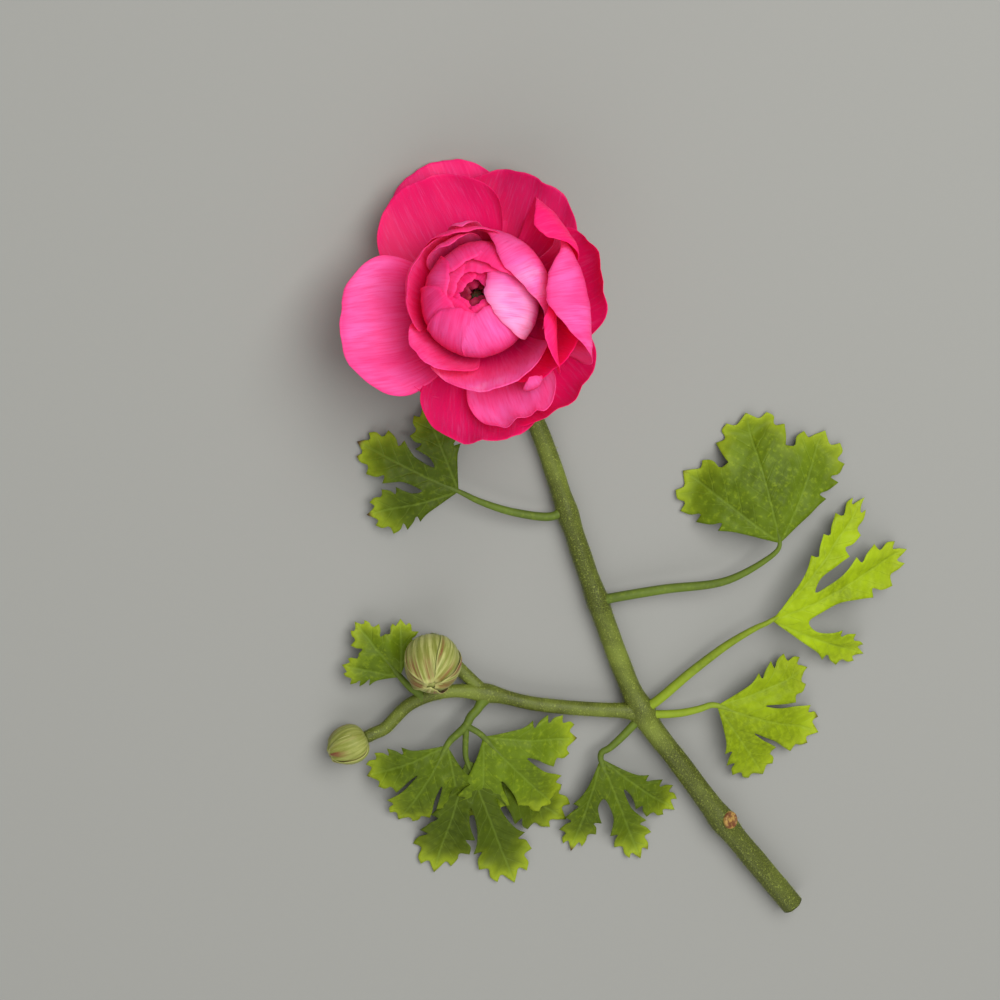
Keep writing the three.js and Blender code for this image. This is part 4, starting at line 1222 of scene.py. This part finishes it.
def calyx_parts(seed):
    """A collar under the petals and five sepals bent back round the neck."""
    draw = np.random.default_rng(seed)
    collar = smooth_profile([
        (2.2, -2.9), (3.4, -2.3), (4.4, -1.3), (4.6, -0.4), (4.2, 0.6), (2.0, 0.9),
    ], 16)
    parts = [plain_part(*turned(collar, sides=40), across=2, along=0.3, tone=0.2, rim=0.4, back=1, rib=0.3)]
    for k in range(SEPALS):
        sepal = PLAIN_PETAL | {
            "at": 20 + 360 / SEPALS * k + draw.uniform(-4, 4), "half": 4.6, "phase": float(k),
            "root": (2.2, -1.3), "low": (6.5, -1.2), "high": (10.5, -2.4),
            "tip": (11.5, -8 + draw.uniform(-0.6, 0.6)),
            "curve": (6, 9), "ruffle": 0.25, "claw": 0.5, "narrow": 0.4,
        }
        parts.append(sepal_sheet(
            sepal, 21, 27, thickness=0.4, seed=draw.uniform(), ribs=5, rib_height=0.2,
        ))
    return merged(parts)


def stand_on(points, foot, tilt):
    """Points of a bud about +Z as they stand on a foot with a tilt."""
    turn = np.array(Vector((0, 0, 1)).rotation_difference(tilt).to_matrix())
    return points @ turn.T + np.array(foot)


# Geometry Nodes


def add_node(tree, kind, **settings):
    node = tree.nodes.new(kind)
    for key, value in settings.items():
        setattr(node, key, value)
    return node


def spike_tree(name, spike_sides, poisson):
    """Spikes that stand on the faces of a mesh, leaning at random."""
    tree = bpy.data.node_groups.new(name, "GeometryNodeTree")
    tree.interface.new_socket("Geometry", in_out="INPUT", socket_type="NodeSocketGeometry")
    for key in ("Density", "Length", "Width", "Spacing", "Lowest"):
        tree.interface.new_socket(key, in_out="INPUT", socket_type="NodeSocketFloat")
    tree.interface.new_socket("Material", in_out="INPUT", socket_type="NodeSocketMaterial")
    tree.interface.new_socket("Geometry", in_out="OUTPUT", socket_type="NodeSocketGeometry")
    entry = add_node(tree, "NodeGroupInput").outputs
    leave = add_node(tree, "NodeGroupOutput")
    method = "POISSON" if poisson else "RANDOM"
    scatter = add_node(tree, "GeometryNodeDistributePointsOnFaces", distribute_method=method)
    position = add_node(tree, "GeometryNodeInputPosition")
    split = add_node(tree, "ShaderNodeSeparateXYZ")
    above = add_node(tree, "FunctionNodeCompare", data_type="FLOAT", operation="GREATER_THAN")
    spike = add_node(tree, "GeometryNodeMeshCone", fill_type="NONE")
    lean = add_node(tree, "FunctionNodeRandomValue", data_type="FLOAT_VECTOR")
    to_turn = add_node(tree, "FunctionNodeEulerToRotation")
    turn = add_node(tree, "FunctionNodeRotateRotation", rotation_space="LOCAL")
    size = add_node(tree, "FunctionNodeRandomValue", data_type="FLOAT")
    place = add_node(tree, "GeometryNodeInstanceOnPoints")
    realize = add_node(tree, "GeometryNodeRealizeInstances")
    paint = add_node(tree, "GeometryNodeSetMaterial")
    constants = (
        (spike, "Vertices", spike_sides), (spike, "Side Segments", 1), (spike, "Radius Top", 0),
        (lean, 0, (-0.6, -0.6, -3.1)), (lean, 1, (0.6, 0.6, 3.1)), (lean, "Seed", 4),
        (size, 2, 0.5), (size, 3, 1.25), (size, "Seed", 9), (scatter, "Seed", 3),
    )
    for node, key, value in constants:
        node.inputs[key].default_value = value
    links = [
        (entry["Geometry"], scatter, "Mesh"), (position.outputs[0], split, 0), (split.outputs["Z"], above, 0),
        (entry["Lowest"], above, 1), (above.outputs[0], scatter, "Selection"),
        (entry["Density"], scatter, "Density Max" if poisson else "Density"),
        (entry["Width"], spike, "Radius Bottom"), (entry["Length"], spike, "Depth"),
        (scatter.outputs["Points"], place, "Points"), (spike.outputs["Mesh"], place, "Instance"),
        (lean.outputs[0], to_turn, 0), (scatter.outputs["Rotation"], turn, 0), (to_turn.outputs[0], turn, 1),
        (turn.outputs[0], place, "Rotation"), (size.outputs[1], place, "Scale"),
        (place.outputs["Instances"], realize, "Geometry"), (realize.outputs["Geometry"], paint, "Geometry"),
        (entry["Material"], paint, "Material"), (paint.outputs["Geometry"], leave, "Geometry"),
    ]
    if poisson:
        links.append((entry["Spacing"], scatter, "Distance Min"))
    for source, node, key in links:
        tree.links.new(source, node.inputs[key])
    return tree


def grown_on(carrier, name, tree, **values):
    """The plain mesh that a tree of nodes makes on a carrier's faces."""
    holder = carrier.copy()
    holder.data = carrier.data.copy()
    bpy.context.scene.collection.objects.link(holder)
    modifier = holder.modifiers.new("growth", "NODES")
    modifier.node_group = tree
    for socket in tree.interface.items_tree:
        if socket.in_out == "INPUT" and socket.name in values:
            modifier[socket.identifier] = values[socket.name]
    bpy.context.view_layer.update()
    evaluated = holder.evaluated_get(bpy.context.evaluated_depsgraph_get())
    mesh = bpy.data.meshes.new_from_object(evaluated)
    holder.modifiers.remove(modifier)
    bpy.data.objects.remove(holder)
    if not len(mesh.polygons):
        raise RuntimeError(f"nothing grew on {carrier.name}")
    mesh.name = name
    mesh.polygons.foreach_set("use_smooth", np.full(len(mesh.polygons), True))
    return linked(name, mesh)


# Operators


def settings_of(context):
    return context.scene.flower_settings


class FLOWER_OT_petals(bpy.types.Operator):
    """Builds the guard petals, the upright ring, the closed ball and the shrivelled throat"""

    bl_idname = "flower.petals"
    bl_label = "Build petals"

    def execute(self, context):
        settings = settings_of(context).petals
        paint = petal_paint("petal_paper", settings)
        throat = petal_paint("petal_throat", settings, throat=True)
        core = smooth_profile([
            (8.0, 0.6), (11.6, 3.4), (13.2, 7.6), (13.5, 12), (12.2, 16.4), (9.0, 19.4), (5.8, 20.4),
            (HOLE_RADIUS + 0.9, 20.0), (HOLE_RADIUS, HOLE_FLOOR + 1), (HOLE_RADIUS - 0.6, HOLE_FLOOR - 0.4),
        ], 34)
        throat_parts = [
            petal_sheets(throat_petals(seed=5), 15, 25, settings, seed=14),
            plain_part(*turned(core, sides=48), across=2, along=0.1, tone=0.1, rim=0.2, back=0),
        ]
        groups = (
            ("guard_petals", petal_sheets(OPEN_PETALS, 41, 39, settings, seed=11), paint),
            ("ring_petals", petal_sheets(RING_PETALS, 37, 35, settings, seed=12), paint),
            ("ball_petals", petal_sheets(BALL_PETALS, 35, 31, settings, seed=13), paint),
            ("throat_petals", merged(throat_parts), throat),
        )
        for name, (points, faces, attributes), material in groups:
            piece = new_piece(name, bloom_to_plant(points), faces, material, attributes)
            place_piece(piece, "petal", "petals")
        return {"FINISHED"}


class FLOWER_OT_carpels(bpy.types.Operator):
    """Builds the dark head of carpels in the hole of the ball"""

    bl_idname = "flower.carpels"
    bl_label = "Build carpels"

    def execute(self, context):
        material = carpel_paint("carpel_skin")
        profile = smooth_profile([
            (1.5, HOLE_FLOOR - 0.5), (1.9, HOLE_FLOOR + 1.4), (1.5, HOLE_FLOOR + 2.9),
            (0.1, HOLE_FLOOR + 3.7),
        ], 12)
        points, faces = turned(profile, sides=20)
        head = new_piece("carpel_dome", bloom_to_plant(points), faces, material)
        tree = spike_tree("carpel_beaks", spike_sides=5, poisson=True)
        beaks = grown_on(
            head, "carpel_beaks", tree, Density=2.0e6, Length=0.9 * MM, Width=0.28 * MM, Spacing=0.45 * MM,
            Material=material,
        )
        for piece in (head, beaks):
            place_piece(piece, "carpel", "carpel_head")
        return {"FINISHED"}


class FLOWER_OT_calyx(bpy.types.Operator):
    """Builds the collar and the five sepals bent back under the bloom"""

    bl_idname = "flower.calyx"
    bl_label = "Build calyx"

    def execute(self, context):
        material = sepal_paint("calyx_skin", settings_of(context).buds)
        points, faces, attributes = calyx_parts(seed=21)
        piece = new_piece("calyx_sepals", bloom_to_plant(points), faces, material, attributes)
        place_piece(piece, "sepal", "calyx")
        return {"FINISHED"}


class FLOWER_OT_stem(bpy.types.Operator):
    """Builds the stem with its side shoot, leaf scar and cut end, and grows its hairs"""

    bl_idname = "flower.stem"
    bl_label = "Build stem"

    def execute(self, context):
        settings = settings_of(context).stem
        material = stem_paint("stem_skin", settings)
        points, faces, attributes = merged([main_stem(), side_shoot(), pedicel(), leaf_scar()])
        piece = new_piece("stem_skin", points, faces, material, attributes)
        tree = spike_tree("stem_hairs", spike_sides=3, poisson=False)
        hairs = grown_on(
            piece, "stem_hairs", tree, Density=settings.hair_density, Length=settings.hair_length,
            Width=settings.hair_width, Lowest=HAIRLESS_HEIGHT, Material=hair_paint("stem_hair"),
        )
        place_piece(piece, "stem", "flower_stem")
        place_piece(hairs, "stem", "flower_stem")
        return {"FINISHED"}


class FLOWER_OT_buds(bpy.types.Operator):
    """Builds the striped bud and the small one, with their down of hairs"""

    bl_idname = "flower.buds"
    bl_label = "Build buds"

    def execute(self, context):
        settings = settings_of(context).buds
        striped = sepal_paint("bud_skin", settings)
        plain = sepal_paint("small_bud_skin", settings, contrast=0.4)
        hair = hair_paint("bud_hair")
        tree = spike_tree("bud_hairs", spike_sides=3, poisson=False)
        buds = (
            ("striped_bud", "bud", striped, BUD_RADIUS, BUD_HEIGHT, 30, BUD_FOOT, BUD_TILT, 31),
            (
                "olive_bud", "small_bud", plain, SMALL_BUD_RADIUS, SMALL_BUD_HEIGHT, 12, SMALL_BUD_FOOT,
                SMALL_BUD_TILT, 32,
            ),
        )
        for name, node, material, radius, height, turn, foot, tilt, seed in buds:
            points, faces, attributes = bud_parts(radius, height, turn, seed)
            piece = new_piece(name, stand_on(points, foot, tilt), faces, material, attributes)
            down = grown_on(
                piece, name + "_down", tree, Density=0.8e6, Length=0.6 * MM, Width=0.03 * MM,
                Lowest=HAIRLESS_HEIGHT, Material=hair,
            )
            place_piece(piece, "bud", node)
            place_piece(down, "bud", node)
        return {"FINISHED"}


class FLOWER_OT_leaves(bpy.types.Operator):
    """Builds the cut leaves on their stalks"""

    bl_idname = "flower.leaves"
    bl_label = "Build leaves"

    def execute(self, context):
        settings = settings_of(context).leaves
        paints = {
            False: leaf_paint("leaf_green", settings, False),
            True: leaf_paint("leaf_young", settings, True),
        }
        for leaf in LEAVES:
            points, faces, attributes = merged(leaf_parts(leaf, settings))
            piece = new_piece(leaf["name"] + "_blade", points, faces, paints[leaf["young"]], attributes)
            place_piece(piece, "bright_leaf" if leaf["young"] else "leaf", leaf["name"])
        return {"FINISHED"}


def soft_light(name, place, target, size, power):
    light = bpy.data.lights.new(name, "AREA")
    light.energy = power
    light.size = size
    lamp = linked(name, light)
    lamp.location = place
    lamp.rotation_euler = (Vector(target) - Vector(place)).to_track_quat("-Z", "Y").to_euler()


class FLOWER_OT_stage(bpy.types.Operator):
    """Sets the pale floor, the soft light and the camera"""

    bl_idname = "flower.stage"
    bl_label = "Set stage"

    def execute(self, context):
        settings = settings_of(context).stage
        self.lay_floor(settings)
        middle = (0.0, 0.0, 0.01)
        soft_light("key_light", (-0.35, 0.55, 1.2), middle, 1.1, settings.key)
        soft_light("fill_light", (0.7, -0.6, 0.9), middle, 1.2, settings.fill)
        world = bpy.data.worlds.new("surround")
        world.use_nodes = True
        background = world.node_tree.nodes["Background"]
        background.inputs["Color"].default_value = (1.0, 1.0, 1.0, 1.0)
        background.inputs["Strength"].default_value = settings.surround
        context.scene.world = world
        context.scene.view_settings.view_transform = "Standard"
        self.set_camera(context.scene)
        return {"FINISHED"}

    def lay_floor(self, settings):
        mesh = bpy.data.meshes.new("floor")
        mesh.from_pydata([(-3, -3, 0), (3, -3, 0), (3, 3, 0), (-3, 3, 0)], [], [(0, 1, 2, 3)])
        paint = Paint("floor_paper", 0.9, Specular_IOR_Level=0.15)
        grain = paint.noise(paint.coordinates(), 400.0)
        shade = tuple(0.985 * channel for channel in settings.floor)
        paint.colour = paint.mix(grain, shade, settings.floor)
        mesh.materials.append(paint.finish())
        floor = linked("floor", mesh)

    def set_camera(self, scene):
        """Looks down on the flower so that the hole of the bloom stands at its place in the picture."""
        # back points from the flower to the camera, and right and up are the picture's own
        elevation = math.radians(VIEW_ELEVATION)
        back = Vector((-math.cos(elevation), 0, math.sin(elevation)))
        level = Vector((math.sin(elevation), 0, math.cos(elevation)))
        roll = math.atan2(STEM_DOWN, STEM_RIGHT)
        right = math.cos(roll) * level + math.sin(roll) * Vector((0, 1, 0))
        up = back.cross(right)
        hole = Vector(to_row(bloom_to_plant([(0, 0, BALL_TOP)]))[0])
        step = MM / PIXELS_PER_MM
        half = PICTURE_SIZE / 2
        centre = hole + right * ((half - HOLE_PIXEL[0]) * step) + up * ((HOLE_PIXEL[1] - half) * step)
        camera = linked("camera", bpy.data.cameras.new("camera"))
        camera.data.sensor_width = SENSOR_WIDTH
        camera.data.lens = SENSOR_WIDTH * VIEW_DISTANCE * PIXELS_PER_MM / PICTURE_SIZE
        place = centre + back * (VIEW_DISTANCE * MM)
        camera.matrix_world = Matrix((
            (right.x, up.x, back.x, place.x),
            (right.y, up.y, back.y, place.y),
            (right.z, up.z, back.z, place.z),
            (0, 0, 0, 1),
        ))
        camera.data.clip_start = 0.01
        camera.data.clip_end = 20
        scene.camera = camera


class FLOWER_PT_panel(bpy.types.Panel):
    """Buttons and settings of the flower"""

    bl_label = "Persian buttercup"
    bl_idname = "FLOWER_PT_panel"
    bl_space_type = "VIEW_3D"
    bl_region_type = "UI"
    bl_category = "Flower"

    def draw(self, context):
        groups = (
            (settings_of(context).petals, ("flower.petals", "flower.carpels")),
            (settings_of(context).buds, ("flower.calyx", "flower.buds")),
            (settings_of(context).stem, ("flower.stem",)),
            (settings_of(context).leaves, ("flower.leaves",)),
            (settings_of(context).stage, ("flower.stage",)),
        )
        for group, operators in groups:
            box = self.layout.box()
            for key in group.__annotations__:
                box.prop(group, key)
            for name in operators:
                box.operator(name)


CLASSES = (
    PetalSettings, StemSettings, BudSettings, LeafSettings, StageSettings, FlowerSettings,
    FLOWER_OT_petals, FLOWER_OT_carpels, FLOWER_OT_calyx, FLOWER_OT_stem, FLOWER_OT_buds, FLOWER_OT_leaves,
    FLOWER_OT_stage, FLOWER_PT_panel,
)


def register():
    for one in CLASSES:
        bpy.utils.register_class(one)
    bpy.types.Scene.flower_settings = bpy.props.PointerProperty(type=FlowerSettings)


def unregister():
    del bpy.types.Scene.flower_settings
    for one in reversed(CLASSES):
        bpy.utils.unregister_class(one)


def main():
    register()
    bpy.ops.flower.stage()
    bpy.ops.flower.petals()
    bpy.ops.flower.carpels()
    bpy.ops.flower.calyx()
    bpy.ops.flower.stem()
    bpy.ops.flower.buds()
    bpy.ops.flower.leaves()


if __name__ == "__main__":
    main()
